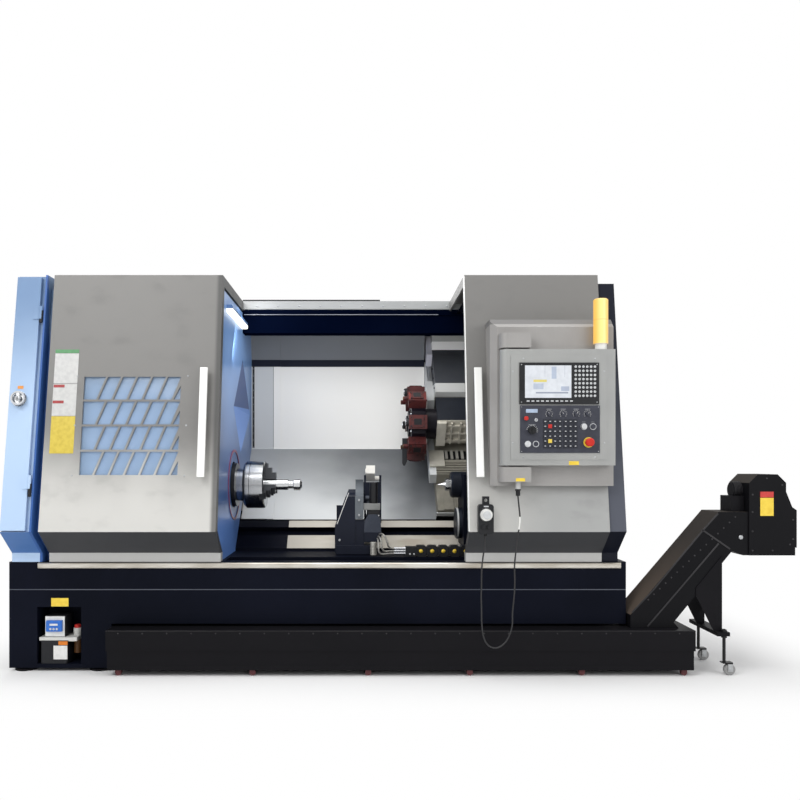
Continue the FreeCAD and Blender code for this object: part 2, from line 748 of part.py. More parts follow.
def guard_line(out, back, lip_room):
    """The guards' bent line at a distance from the spindle axis: foot, bend, top and lip."""
    foot = slant(S.guard_low, out)
    bend_up = (back - S.spindle_y + out * slant_sin) / slant_cos
    bend = slant(bend_up, out)
    lip_y = back - S.guard_lip * 0.28
    return [foot, bend, (back, guard_top), (lip_y, guard_top + S.guard_lip - lip_room)]


def guard(out, back, thick, span):
    front = guard_line(out + thick, back - thick, size(0))
    rear = guard_line(out, back, size(0))
    return prism("YZ", front + rear[::-1], span)


def make_guards():
    wall = S.base_left + S.wall_from
    start = S.base_left + S.guard_from
    carriage = S.base_left + S.carriage_from
    shelf = guard(-S.guard_drop, S.guard_back, S.guard_sheet, (start, carriage - S.flank_thick - 2))
    tongue_up = (S.guard_low, S.guard_low + 560)
    tongue_x = (carriage - S.flank_thick - 3, carriage)
    tongue = slant_block(tongue_x, tongue_up, (-S.guard_drop, -S.guard_drop + S.guard_sheet))
    node("carriage_guard", fuse(shelf, tongue))
    fixed_out = -S.guard_drop + S.guard_sheet + S.guard_gap
    fixed_back = S.guard_back - S.guard_sheet - S.guard_gap
    node("chip_guard", guard(fixed_out, fixed_back, S.guard_sheet, (wall, start + S.guard_lap)))
    return fixed_out, fixed_back


def make_headstock_wall(fixed_out, fixed_back):
    wall = S.base_left + S.wall_from
    front = front_line(S.cover_inset + S.sheet, S.base_top, S.front_top - S.cover_inset - S.sheet, S.roof_back)
    rear = guard_line(fixed_out, fixed_back, size(0))
    points = front + [(S.roof_back, rear[3][1])] + rear[::-1] + [(rear[0][0], S.base_top)]
    plate = prism("YZ", points, (wall - S.sheet, wall))
    hole = rod("x", S.chuck_flange + 10, (wall - 20, wall + 20), (S.spindle_y, S.spindle_z))
    diamond = [
        (S.spindle_y + 335, S.front_top - 317),
        (S.spindle_y - 45, S.spindle_z + 450),
        (S.spindle_y + 240, S.spindle_z + 157),
        (fixed_back - 30, S.spindle_z + 440),
    ]
    apex = Vector(wall.value - S.relief_deep.value, S.spindle_y.value + 250, S.spindle_z.value + 480)
    corners = [Vector(wall.value, y.value, z.value) for y, z in diamond]
    sides = [Part.makePolygon([a, b, apex, a]) for a, b in zip(corners, corners[1:] + corners[:1])]
    faces = [Part.Face(side) for side in sides] + [Part.Face(Part.makePolygon(corners + corners[:1]))]
    outer = document.addObject("Part::Feature", "Relief")
    outer.Shape = Part.Solid(Part.makeShell(faces))
    inner = document.addObject("Part::Feature", "Relief")
    inner.Shape = outer.Shape.copy()
    inner.Placement = FreeCAD.Placement(Vector(S.sheet.value, 0, 0), FreeCAD.Rotation())
    ring_outer = rod("x", size(205), (wall, wall + 5), (S.spindle_y, S.spindle_z))
    ring_inner = rod("x", size(192), (wall - 1, wall + 6), (S.spindle_y, S.spindle_z))
    ring = cut(ring_outer, ring_inner)
    bed_room = make_bed_tool(wall - 20, wall + 20)
    beam_y = (S.roof_back + S.rail_thick + 4, S.roof_back + S.rail_thick + 4 + S.beam_deep)
    beam_low = S.front_top - S.end_drop - S.beam_tall
    beam_room = block((wall - 20, wall + 20), beam_y, (beam_low, S.front_top))
    node("headstock_wall", cut(fuse(plate, outer, ring), inner, hole, bed_room, beam_room))


def make_work_light():
    wall = S.base_left + S.wall_from
    light_y = (S.roof_back - 4 - S.light_long, S.roof_back - 4)
    light_z = S.front_top - 170
    tube = block((wall, wall + S.light_wide), light_y, (light_z, light_z + S.light_wide * 1.2))
    tube = rounded(tube, size(10), lambda e: along(e, Y_AXIS) and e.Vertexes[0].X > wall.value + 1)
    node("work_light", tube)


# ---------------------------------------------------------------- left end cabinet


def make_cabinet():
    left = S.base_left + S.cabinet_from
    right = left + S.cabinet_wide
    top = S.front_top - 5
    line = front_line(S.leaf_thick + 1, S.base_top, top, S.back_y) + [(S.back_y, S.base_top)]
    shell = prism("YZ", line, (left, right))
    wall = S.cabinet_wall
    inner = front_line(S.leaf_thick + 60, S.base_top + 60, top - wall, S.back_y - wall)
    inner = inner[1:] + [(S.back_y - wall, S.base_top + 60), (S.base_front + S.leaf_thick + 60, S.base_top + 60)]
    hollow = prism("YZ", inner, (left + wall, right - wall))
    door_up = (S.front_top - S.nose_z) / lean_cos
    mouth = face_block((left + wall + 14, right - 40), (-120, 10), (size(60), door_up - 80))
    foot_line = [(S.base_front, S.base_top), (S.base_front, S.strip_top), (nose_y, S.nose_z)]
    foot_line += [(nose_y + S.leaf_thick + 1, S.nose_z), (S.base_front + S.leaf_thick + 1, S.strip_top)]
    foot_line += [(S.base_front + S.leaf_thick + 1, S.base_top)]
    foot = prism("YZ", foot_line, (left, right))
    strip = front_sheet(size(0), S.leaf_thick + 1, S.base_top, size(-500), (right - 10, right))
    node("cabinet_shell", fuse(cut(shell, hollow, mouth), foot, strip))
    hinge_x = right - 22
    leaf = face_block((left, hinge_x - S.hinge_radius - 2), (-S.leaf_thick, 0), (size(6), door_up - 12))
    parts = [leaf]
    for up in (door_up * 0.16, door_up * 0.82):
        knuckle = document.addObject("Part::Cylinder", "Knuckle")
        bind(knuckle, "Radius", S.hinge_radius)
        bind(knuckle, "Height", 70)
        y, z = face(S.hinge_radius - 4, up)
        parts.append(place(knuckle, hinge_x, y, z, -lean))
        parts.append(face_block((hinge_x - S.hinge_radius - 30, hinge_x), (0, 5), (up, up + 70)))
    node("cabinet_door", fuse(*parts))
    lock = document.addObject("Part::Cylinder", "Disc")
    bind(lock, "Radius", S.lock_radius)
    bind(lock, "Height", 12)
    y, z = face(size(0.3), S.lock_up)
    place(lock, left + 56, y, z, 90 - lean)
    grip = face_block((left + 56 - 8, left + 56 + 8), (10, 26), (S.lock_up - 34, S.lock_up + 34))
    node("cabinet_lock", fuse(lock, grip))


# ---------------------------------------------------------------- doors


def door_panel(left, right):
    """A door's folded sheet with the rim round its two sides."""
    skin = front_sheet(size(0), S.door_sheet, door_bottom, S.roof_back, (left, right))
    first = front_sheet(size(0), S.door_rim, door_bottom, S.roof_back, (left, left + S.door_sheet))
    last = front_sheet(size(0), S.door_rim, door_bottom, S.roof_back, (right - S.door_sheet, right))
    return fuse(skin, first, last)


def handle(left):
    """A flat bar on two posts, on the leaning face."""
    bar_out = (S.handle_out, S.handle_out + S.handle_thick)
    bar_up = (S.handle_up, S.handle_up + S.handle_long)
    bar = face_block((left, left + S.handle_wide), bar_out, bar_up)
    bar = rounded(bar, size(5), lambda e: e.Length > S.handle_long.value - 1)
    posts = []
    for up in (S.handle_up + 25, S.handle_up + S.handle_long - 45):
        post_x = (left + S.handle_wide / 2 - 8, left + S.handle_wide / 2 + 8)
        posts.append(face_block(post_x, (0, S.handle_out + 1), (up, up + 20)))
    return fuse(bar, *posts)


def make_left_door():
    left = S.base_left + S.left_door_from
    right = left + S.left_door_wide
    panel = door_panel(left, right)
    rows = 4
    columns = 6
    start = left + S.window_from
    end = start + S.window_wide
    row_tall = (S.window_tall - S.bar_wide * (rows - 1)) / rows
    cell_wide = (S.window_wide - S.bar_wide * (columns - 1) - S.bar_lean) / columns
    holes = []
    for row in range(rows):
        low = S.window_low + (row_tall + S.bar_wide) * row
        high = low + row_tall
        for column in range(columns + 1):
            x = start + (cell_wide + S.bar_wide) * column
            if column == columns:
                points = [(x, low), (end, low), (end, low + row_tall * 0.6)]
            else:
                points = [(x, low), (x + cell_wide, low), (x + cell_wide + S.bar_lean, high)]
                points.append((x + S.bar_lean, high) if column else (start, high))
            holes.append(prism("XZ", points, (nose_y - 20, S.front_top_y)))
    node("left_door", cut(panel, *holes))
    pane_low = S.window_low - S.glass_edge
    pane_high = S.window_low + S.window_tall + S.glass_edge
    pane_line = []
    for z, inset in ((pane_low, 0), (pane_high, 0), (pane_high, 1), (pane_low, 1)):
        pane_line.append((face_y(z) + S.door_sheet + S.glass_thick * inset, z))
    node("left_window", prism("YZ", pane_line, (start - S.glass_edge, end + S.glass_edge)))
    node("left_handle", handle(left + S.left_handle_from))


def make_right_door():
    right = base_right - S.right_door_to
    left = right - S.right_door_wide
    peg_x = left + S.right_handle_from + S.handle_wide
    peg_z = S.mount_low - 70
    peg = rod("y", size(6), (face_y(peg_z) - 38, face_y(peg_z) + 5), (peg_x + 2, peg_z))
    node("right_door", fuse(door_panel(left, right), peg))
    node("right_handle", handle(left + S.right_handle_from))
    mount_left = left + S.mount_from
    mount_right = mount_left + S.mount_wide
    top = S.mount_low + S.mount_tall
    line = [
        (face_y(S.mount_low), S.mount_low),
        (S.mount_face, S.mount_low),
        (S.mount_face, top - S.mount_bevel),
        (S.mount_face + S.mount_bevel, top),
        (face_y(top), top),
    ]
    box = prism("YZ", line, (mount_left, mount_right))
    box = bevel(box, S.mount_bevel * 0.7, lambda e: along(e, Z_AXIS) and e.Vertexes[0].X < mount_left.value + 1
                and e.Vertexes[0].Y < S.mount_face.value + 1)
    cavity_x = (mount_left + S.mount_bevel, mount_right - S.mount_wall)
    cavity_z = (S.mount_low + S.mount_wall, top - S.mount_bevel - S.mount_wall)
    cavity = block(cavity_x, (S.mount_face + S.mount_wall, S.front_top_y), cavity_z)
    hinge_x = mount_left + S.arm_from
    hinge_y = S.mount_face - S.box_gap - S.box_half
    pieces = [cut(box, cavity)]
    upper = S.box_low + S.box_tall + S.arm_gap
    lower = S.box_low - S.arm_gap - S.arm_tall
    for low, pin_low in ((upper, upper - S.arm_gap - S.pin_long), (lower, lower + S.arm_tall - 1)):
        high = low + S.arm_tall
        pieces.append(rod("z", S.box_half, (low, high), (hinge_x, hinge_y)))
        arm_y = (hinge_y - S.box_half, S.mount_face + 1)
        pieces.append(block((hinge_x, hinge_x + S.arm_long), arm_y, (low, high)))
        pin_top = pin_low + S.arm_gap + S.pin_long + 1
        pieces.append(rod("z", S.pin_radius, (pin_low, pin_top), (hinge_x, hinge_y)))
        web_y = (hinge_y, S.mount_face + 1)
        pieces.append(block((hinge_x - S.box_half, hinge_x + 1), web_y, (low, high)))
    gland_x = hinge_x + 56
    pieces.append(rod("z", S.gland_radius, (lower - S.gland_tall * 0.6, lower), (gland_x, hinge_y)))
    pieces.append(rod("z", S.gland_radius * 0.8, (lower - S.gland_tall, lower - S.gland_tall * 0.5), (gland_x, hinge_y)))
    node("panel_mount", fuse(*pieces))
    return hinge_x, hinge_y, gland_x, lower - S.gland_tall, peg_x + 2, peg_z


def make_control_box(hinge_x, hinge_y):
    low = S.box_low
    high = S.box_low + S.box_tall
    front = hinge_y - S.box_half
    back = hinge_y + S.box_half
    right = hinge_x + S.box_long
    body = block((hinge_x, right), (front, back), (low, high))
    body = rounded(body, size(8), lambda e: along(e, Z_AXIS) and e.Vertexes[0].X > hinge_x.value + 1)
    nose = rod("z", S.box_half, (low, high), (hinge_x, hinge_y))
    bore = S.pin_radius + S.pin_gap
    lower_bore = rod("z", bore, (low - 1, low + S.pin_long + 1), (hinge_x, hinge_y))
    upper_bore = rod("z", bore, (high - S.pin_long - 1, high + 1), (hinge_x, hinge_y))
    rim_x = (hinge_x + S.panel_from - 42, hinge_x + S.panel_from + S.panel_wide + 42)
    rim_low = S.box_low + S.panel_low - 34
    rim_high = S.box_low + S.panel_low + S.panel_tall + S.display_tall + 44
    plate = block(rim_x, (front - 3, front + 1), (rim_low, rim_high))
    stop_at = (hinge_x + S.panel_from + 342, S.box_low + S.panel_low + 52)
    stop_bore = rod("y", S.stop_radius * 0.6 + 0.1, (front - 4, front + 14), stop_at)
    node("control_box", cut(fuse(body, nose, plate), lower_bore, upper_bore, stop_bore))
    face_at = front - 3
    left = hinge_x + S.panel_from
    panel_z = S.box_low + S.panel_low
    display_z = panel_z + S.panel_tall + 6
    display_y = (face_at - S.display_thick, face_at)
    bezel = block((left, left + S.panel_wide), display_y, (display_z, display_z + S.display_tall))
    screen_x = (left + 26, left + 26 + S.screen_wide)
    screen_z = (display_z + 30, display_z + 30 + S.screen_tall)
    recess = block(screen_x, (face_at - S.display_thick - 1, face_at - S.display_thick + 2), screen_z)
    node("display_unit", cut(bezel, recess))
    make_operator_panel(left, panel_z, face_at)
    lamp_x = right - 65
    lamp_foot = rod("z", S.lamp_radius * 0.8, (high, high + S.lamp_base), (lamp_x, hinge_y))
    lens = rod("z", S.lamp_radius, (high + S.lamp_base - 2, high + S.lamp_base + S.lamp_tall), (lamp_x, hinge_y))
    lens = bevel(lens, size(5), lambda e: e.Closed and e.Vertexes[0].Z > high.value + S.lamp_base.value + 5)
    node("signal_lamp", fuse(lamp_foot, lens))


def make_operator_panel(left, low, face_at):
    """The key and knob plate, with its small keys and knobs, and its two large controls."""
    front = face_at - S.panel_thick
    plate = block((left + 4, left + 4 + S.panel_wide), (front, face_at), (low, low + S.panel_tall))
    pieces = [plate]
    for x in (147, 217, 281, 337):
        pieces.append(rod("y", size(10), (front - 12, front + 1), (left + x, low + 193)))
    for x in (41, 81):
        pieces.append(rod("y", size(11), (front - 7, front + 1), (left + x, low + 44)))
    for x in (318, 363):
        pieces.append(rod("y", size(12), (front - 12, front + 1), (left + x, low + 130)))
    pieces.append(block((left + 22, left + 44), (front - 5, front + 1), (low + 160, low + 182)))
    half = S.key_size / 2
    for row in range(6):
        for column in range(7):
            x = left + 121 + S.key_pitch * column + (S.key_pitch * 0.7 if column > 3 else 0) * 1.0
            z = low + 34 + S.key_pitch * 1.6 * row
            pieces.append(block((x - half, x + half), (front - 3, front + 1), (z - half, z + half)))
    stop_at = (left + 342, low + 52)
    bore = rod("y", S.stop_radius * 0.6 + 0.1, (front - 1, face_at + 1), stop_at)
    node("operator_panel", cut(fuse(*pieces), bore))
    dial_y = (front - S.dial_tall - 0.3, front - 0.3)
    dial = rod("y", S.dial_radius, dial_y, (left + 62, low + 111))
    ridge = block((left + 59, left + 65), (front - S.dial_tall - 5, front - 5), (low + 96, low + 126))
    node("mode_knob", fuse(dial, ridge))
    stop_front = front - 10 - S.stop_tall
    cap = rod("y", S.stop_radius, (stop_front, front - 12), stop_at)
    cap = bevel(cap, size(5), lambda e: e.Closed and e.Vertexes[0].Y < stop_front.value + 1)
    stem = rod("y", S.stop_radius * 0.6, (front - 13, face_at + 8), stop_at)
    node("estop_button", fuse(cap, stem))


# ---------------------------------------------------------------- pendant and cable

CABLE_ROUTE = [
    (0, 0, 0), (5, 0, -52), (12, 2, -112), (6, 6, -172), (-4, 10, -232), (-9, 12, -292),
    (-16, 12, -352), (-13, 12, -412), (-14, 12, -472), (-19, 12, -532), (-26, 12, -592),
    (-24, 12, -646), (-38, 12, -698), (-60, 12, -738), (-94, 12, -764), (-130, 12, -764),
    (-160, 12, -740), (-175, 12, -692), (-180, 14, -632), (-179, 18, -574), (-181, 22, -514),
    (-178, 26, -454), (-178, 28, -394), (-174, 30, -334), (-169, 32, -278), (-159, 33, -228),
]


def rounded_path(points):
    """Straight runs joined by tangent arcs, as large as the runs allow."""
    edges = []
    radii = []
    start = points[0]
    for before, corner, after in zip(points, points[1:], points[2:]):
        into = (corner - before).normalize()
        out = (after - corner).normalize()
        turn = into.getAngle(out)
        shorter = min((corner - before).Length, (after - corner).Length)
        reach = 0.45 * shorter
        radii.append(reach / math.tan(turn / 2))
        first = corner - into * reach
        last = corner + out * reach
        bend = (out - into).normalize()
        radius = radii[-1]
        centre = corner + bend * (radius / math.cos(turn / 2))
        middle = centre - bend * radius
        edges.append(Part.makeLine(start, first))
        edges.append(Part.Arc(first, middle, last).toShape())
        start = last
    edges.append(Part.makeLine(start, points[-1]))
    return Part.Wire(edges), radii


def make_pendant(gland, peg_x, peg_z):
    back = face_y(peg_z - S.pendant_tall - 25) - 1.5
    front = back - S.pendant_deep
    half = S.pendant_wide / 2
    top = peg_z - 22
    low = top - S.pendant_tall
    body = block((peg_x - half, peg_x + half), (front, back), (low, top))
    body = rounded(body, size(14), lambda e: along(e, Y_AXIS))
    loop_y = (front + 12, front + 20)
    loop = block((peg_x - 18, peg_x + 18), loop_y, (top - 1, peg_z + 18))
    eye = rod("y", size(8), (front, back + 20), (peg_x, peg_z - 1.7))
    knobs = []
    for x in (-13, 13):
        knobs.append(rod("y", size(9), (front - 12, front + 1), (peg_x + x, low + 36)))
    node("pendant_body", fuse(body, cut(loop, eye), *knobs))
    wheel_at = (peg_x, top - 52)
    wheel_y = (front - S.wheel_tall - 0.3, front - 0.3)
    wheel = rod("y", S.wheel_radius, wheel_y, wheel_at)
    crank = rod("y", size(6), (front - S.wheel_tall - 16, front - S.wheel_tall), (peg_x + 18, top - 52))
    node("handwheel", fuse(wheel, crank))
    gland_x, gland_y, gland_z = gland
    start = Vector(gland_x.value, gland_y.value, gland_z.value)
    points = [start + Vector(*offset) for offset in CABLE_ROUTE]
    points[-1] = Vector(peg_x.value, (front.value + back.value) / 2, low.value)
    points[-2] = points[-1] - Vector(2, 0, 50)
    path, radii = rounded_path(points)
    radius = S.cable_radius.value
    section = Part.Wire([Part.makeCircle(radius, start, points[1] - points[0])])
    cable = document.addObject("Part::Feature", "Cable")
    cable.Shape = path.makePipeShell([section], True, False)
    filled = math.pi * radius ** 2 * path.Length
    print("cable: length %.0f, tightest bend %.0f" % (path.Length, min(radii)))
    print("cable: volume %.0f of %.0f" % (cable.Shape.Volume, filled))
    node("pendant_cable", cable)


# ---------------------------------------------------------------- headstock and chuck


def make_headstock():
    wall = S.base_left + S.wall_from
    right = wall - S.sheet - S.head_gap
    left = right - S.head_long
    line = [
        (S.head_front, S.base_top),
        (S.head_front, S.head_top - 60),
        (S.head_front + 60, S.head_top),
        (S.head_back - 120, S.head_top),
        (S.head_back, S.head_top - 120),
        (S.head_back, S.base_top),
    ]
    bed_y, bed_z = slant(-S.way_low - 10, -S.way_drop)
    axis = (S.spindle_y, S.spindle_z)
    casting = prism("YZ", line, (left, right))
    nose_end = wall - 22
    nose = rod("x", S.nose_radius, (right - 1, nose_end), axis)
    bore = rod("x", S.shaft_radius + S.shaft_gap, (left - 1, nose_end + 1), axis)
    node("headstock", cut(fuse(casting, nose), bore, make_bed_tool(left, right)))
    flange = wall - 18
    shaft = rod("x", S.shaft_radius, (left - S.pulley_wide - 30, flange), axis)
    pulley = rod("x", S.pulley_radius, (left - S.pulley_wide - 20, left - 20), axis)
    pulley = bevel(pulley, size(8), lambda e: e.Closed)
    hollow = rod("x", S.bore_radius, (left - S.pulley_wide - 31, flange + 1), axis)
    node("spindle", cut(fuse(shaft, pulley), hollow))
    return flange


def make_bed_tool(left, right):
    """The room that the bed takes out of the headstock's foot."""
    first = -S.way_low - 10
    points = [
        (slant(first, -S.way_drop)[0], S.base_top - 1),
        slant(first, -S.way_drop),
        slant(size(300), -S.way_drop),
        (S.head_back + 300, S.base_top - 1),
    ]
    return prism("YZ", points, (left - 1, right + 1))


def make_chuck(flange):
    axis = (S.spindle_y, S.spindle_z)
    neck = flange + 40
    back = neck + 44
    front = back + S.chuck_long
    profile = [
        (flange, S.bore_radius * 0.85),
        (flange, S.chuck_flange),
        (neck, S.chuck_flange),
        (neck, S.chuck_neck),
        (back, S.chuck_neck),
        (back, S.chuck_radius - 14),
        (back + 14, S.chuck_radius),
        (front - 6, S.chuck_radius),
        (front, S.chuck_radius - 6),
        (front, S.bore_radius * 0.85),
    ]
    body = turned(profile, axis)
    slots = []
    jaws = []
    half = S.jaw_wide / 2
    inner = S.arbor_radius + 0.3
    for i in range(3):
        angle = 90 + 120 * i
        slot = block((front - 24, front + 1), (-half - 0.3, half + 0.3), (0, S.chuck_radius + 5))
        slots.append(around(slot, angle, axis))
        foot = block((front - 23.7, front + 12), (-half, half), (inner, inner + S.jaw_tall))
        step = block((front + 11, front + 36), (-half, half), (inner, inner + S.jaw_tall * 0.72))
        tip = block((front + 35, front + S.jaw_out), (-half, half), (inner, inner + S.jaw_tall * 0.42))
        jaws.append(around(fuse(foot, step, tip), angle, axis))
    node("chuck_body", cut(body, *slots))
    for number, jaw in enumerate(jaws, start=1):
        relief = rod("x", inner, (front - 30, front + S.jaw_out + 1), axis)
        node("jaw_%d" % number, cut(jaw, relief))
    arbor = turned([
        (front - 60, size(0)),
        (front - 60, S.arbor_radius),
        (front + S.arbor_long * 0.62, S.arbor_radius),
        (front + S.arbor_long * 0.62, S.arbor_radius * 0.75),
        (front + S.arbor_long * 0.76, S.arbor_radius * 0.75),
        (front + S.arbor_long * 0.78, S.arbor_radius * 1.06),
        (front + S.arbor_long * 0.95, S.arbor_radius * 1.06),
        (front + S.arbor_long, S.arbor_radius * 0.6),
        (front + S.arbor_long, size(0)),
    ], axis)
    node("chuck_arbor", arbor)


def around(thing, angle, axis):
    """Carry a thing built at the origin to an axis along X, turned about it."""
    group = document.addObject("Part::Compound", "Around")
    group.Links = [thing]
    turn = FreeCAD.Rotation(Vector(1, 0, 0), angle - 90)
    group.Placement = FreeCAD.Placement(Vector(0, 0, 0), turn)
    bind(group, "Placement.Base.y", axis[0])
    bind(group, "Placement.Base.z", axis[1])
    return group


# ---------------------------------------------------------------- carriage and turret


def make_carriage():
    left = S.base_left + S.carriage_from
    right = left + S.carriage_long
    rail_top = -S.bed_drop + S.rail_tall
    low_face = rail_top + S.slide_gap
    top = -S.saddle_drop
    saddle = slant_block((left, right), (S.carriage_low, S.carriage_up), (low_face, top))
    pieces = [saddle]
    for start in (S.rail_low, S.rail_low + S.rail_span):
        truck_out = (-S.bed_drop + 5, low_face + 1)
        near = start - S.slide_gap
        far = start + S.rail_wide + S.slide_gap
        pieces.append(slant_block((left, right), (near - 15, near), truck_out))
        pieces.append(slant_block((left, right), (far, far + 15), truck_out))
    for start in (left + 38, left + 298):
        way_x = (start, start + S.dovetail_wide)
        pieces.append(slant_block(way_x, (S.carriage_low, S.carriage_up), (top - 1, top + S.dovetail_tall)))
    for i in range(9):
        rib = left + 106 + size(i) * 21
        pieces.append(slant_block((rib, rib + 8), (S.carriage_low, S.cross_low), (top - 1, top + 7)))
    node("carriage", fuse(*pieces))


def make_cross_slide():
    carriage = S.base_left + S.carriage_from
    foot = -S.saddle_drop + S.dovetail_tall + S.slide_gap
    step = S.turret_up + 154
    body_line = [
        (S.cross_low, foot),
        (S.carriage_up + 130, foot),
        (S.carriage_up + 130, 212),
        (S.carriage_up + 71, 271),
        (S.carriage_up - 28, 173),
        (step + 40, 173),
        (step, 133),
        (step, -S.cross_face),
        (S.cross_low, -S.cross_face),
    ]
    body = slant_prism(body_line, (carriage + 2, carriage + 378))
    flank_line = [
        (S.cross_low, foot),
        (S.carriage_up, foot),
        (S.carriage_up, 50),
        (step + 16, 50),
        (step - 44, -S.cross_face - 5),
        (S.cross_low, -S.cross_face - 5),
    ]
    flank = slant_prism(flank_line, (carriage - S.flank_thick, carriage + 2))
    turret_right = carriage + 2 + S.slide_gap + S.turret_long
    column_x = (turret_right + S.slide_gap, carriage + 378)
    column_up = (S.turret_up - 100, S.turret_up + 146)
    column = slant_block(column_x, column_up, (-S.cross_face - 1, 110))
    node("cross_slide", fuse(body, flank, column))
    return carriage + 2 + S.slide_gap


def make_turret(left):
    up = (S.turret_up - 88, S.turret_up + 134)
    out = (-95, 110)
    housing = slant_block((left, left + S.turret_long), up, out)
    housing = rounded(housing, size(14), lambda e: along(e, X_AXIS))
    ribs = []
    for i in range(4):
        x = left + 28 + size(i) * 55
        ribs.append(slant_block((x, x + 12), (up[0] - 15, up[0] + 1), (-78, 92)))
    for i in range(3):
        low = -60 + i * 60
        ribs.append(slant_block((left + 20, left + 214), (up[0] - 15, up[0] + 1), (low, low + 12)))
    node("turret_head", fuse(housing, *ribs))
    axis = slant(S.turret_up, size(0))
    hub_end = left
    disc_right = hub_end - S.hub_long
    disc_left = disc_right - S.disc_long
    corner = S.disc_radius / math.cos(math.pi / 8)
    points = []
    for i in range(8):
        angle = math.radians(45 + 22.5 + 45 * i)
        points.append((axis[0] + corner * math.cos(angle), axis[1] + corner * math.sin(angle)))
    disc = prism("YZ", points, (disc_left, disc_right))
    disc = bevel(disc, size(4), lambda e: not along(e, X_AXIS))
    hub = rod("x", S.hub_radius, (disc_right - 1, hub_end), axis)
    boss = rod("x", S.hub_radius * 0.55, (disc_left - 8, disc_left + 1), axis)
    node("tool_disc", fuse(disc, hub, boss))
    pieces = []
    sockets = []
    half = 42
    inner = S.disc_radius
    outer = S.disc_radius + S.holder_tall
    for i in range(int(S.station_count.value)):
        angle = 45 + 45 * i
        holder = block((disc_right - S.holder_long, disc_right), (-half, half), (inner, outer))
        cap = block((disc_right - S.holder_long + 18, disc_right - 22), (-half + 12, half - 12), (outer - 1, outer + 8))
        pieces.append(around(holder, angle, axis))
        pieces.append(around(cap, angle, axis))
        if i % 2 == 0:
            shank = block((disc_right - S.holder_long - 32, disc_right - 20), (-10, 10), (outer - 34, outer - 14))
            pieces.append(around(shank, angle, axis))
        else:
            reach = disc_right - S.holder_long
            socket = rod("x", S.socket_radius, (reach - 1, reach + 70), (size(0), inner + S.holder_tall / 2))
            sockets.append(around(socket, angle, axis))
    node("tool_holders", cut(fuse(*pieces), *sockets))


# ---------------------------------------------------------------- steady rest and tailstock


def foot_line(top, shoulder=None):
    """The outline in (y, z) that steady rest and tailstock share over the two ways."""
    seat = -S.way_drop + S.slide_gap
    edge = -S.way_low + S.way_low_wide + S.way_gap + S.way_high_wide + 2
    sum_at_low = (S.apron_low - S.spindle_z) / slant_sin
    low_up = sum_at_low - seat
    points = [
        (S.steady_front, S.apron_low),
        slant(low_up, seat),
        slant(edge, seat),
        slant(edge, edge - (S.steady_back - S.spindle_y) / slant_cos),
    ]
    if shoulder is None:
        return points + [(S.steady_back, top), (S.steady_front, top)]
    return points + shoulder


def make_steady():
    left = S.base_left + S.steady_from
    mid = left + S.steady_casting
    casting = prism("YZ", foot_line(S.steady_top), (left, mid + 1))
    corner = [(left - 1, S.steady_top - 200), (left + 73, S.steady_top + 1), (left - 1, S.steady_top + 1)]
    slope = prism("XZ", corner, (S.steady_front - 1, S.steady_back + 1))
    plate_z = (S.steady_top - 160, S.steady_top + 58)
    plate = block((mid, mid + 47), (S.steady_front, S.steady_back), plate_z)
    axis = (S.spindle_y, S.spindle_z)
    bore = rod("x", S.jaw_room, (left - 1, mid + 48), axis)
    mouth = block((left - 1, mid + 48), (S.steady_front - 1, S.spindle_y), (S.spindle_z - 62, S.spindle_z + 100))
    head_x = (mid + 46, mid + 153)
    head_y = (S.steady_back - 38, S.steady_back)
    head = block(head_x, head_y, (S.spindle_z - 152, S.spindle_z + 12))
    pieces = [cut(fuse(casting, plate), slope, bore, mouth), head]
    pin_y = S.steady_back - 19
    upper_pin = S.spindle_z + 34
    lower_pin = S.spindle_z - 205
    ears = [(mid + 50, mid + 62), (mid + 141, mid + 153)]
    for ear in ears:
        pieces.append(block(ear, head_y, (S.spindle_z + 11, upper_pin + 20)))
        pieces.append(block(ear, head_y, (lower_pin - 25, S.spindle_z - 151)))
    holes = [rod("x", size(8.1), (mid + 49, mid + 154), (pin_y, z)) for z in (upper_pin, lower_pin)]
    node("steady_base", cut(fuse(*pieces), *holes))
    arm_x = (mid + 62.3, mid + 114)
    span = (mid + 62.3, mid + 140.7)
    pins = (mid + 50, mid + 153)
    upper_line = [
        (S.steady_back - 3, upper_pin + 12),
        (S.steady_back - 3, S.spindle_z + 18),
        (S.steady_back - 36, S.spindle_z + 18),
        (S.spindle_y - 40, S.spindle_z + 66),
        (S.spindle_y - 46, S.spindle_z + 112),
        (S.spindle_y + 10, S.spindle_z + 112),
    ]
    upper = [
        prism("YZ", upper_line, arm_x),
        rod("x", size(14), span, (pin_y, upper_pin)),
        rod("x", size(8), pins, (pin_y, upper_pin)),
        rod("x", S.roller_radius, (mid + 58, mid + 86), (S.spindle_y - 16, S.spindle_z + 78)),
    ]
    node("steady_arm_upper", fuse(*upper))
    lower_line = [
        (S.steady_back - 3, S.spindle_z - 179),
        (S.steady_back - 3, S.spindle_z - 225),
        (S.steady_back - 70, S.spindle_z - 274),
        (S.spindle_y - 56, S.spindle_z - 274),
        (S.spindle_y - 44, S.spindle_z - 179),
    ]
    finger_line = [
        (S.spindle_y - 40, S.spindle_z - 185),
        (S.spindle_y - 28, S.spindle_z - 80),
        (S.spindle_y - 12, S.spindle_z - 80),
        (S.spindle_y + 10, S.spindle_z - 185),
    ]
    lower = [
        prism("YZ", lower_line, arm_x),
        prism("YZ", finger_line, (mid + 66, mid + 82)),
        rod("x", size(14), span, (pin_y, lower_pin)),
        rod("x", size(8), pins, (pin_y, lower_pin)),
        rod("x", S.roller_radius, (mid + 58, mid + 90), (S.spindle_y - 20, S.spindle_z - 80)),
    ]
    node("steady_arm_lower", fuse(*lower))


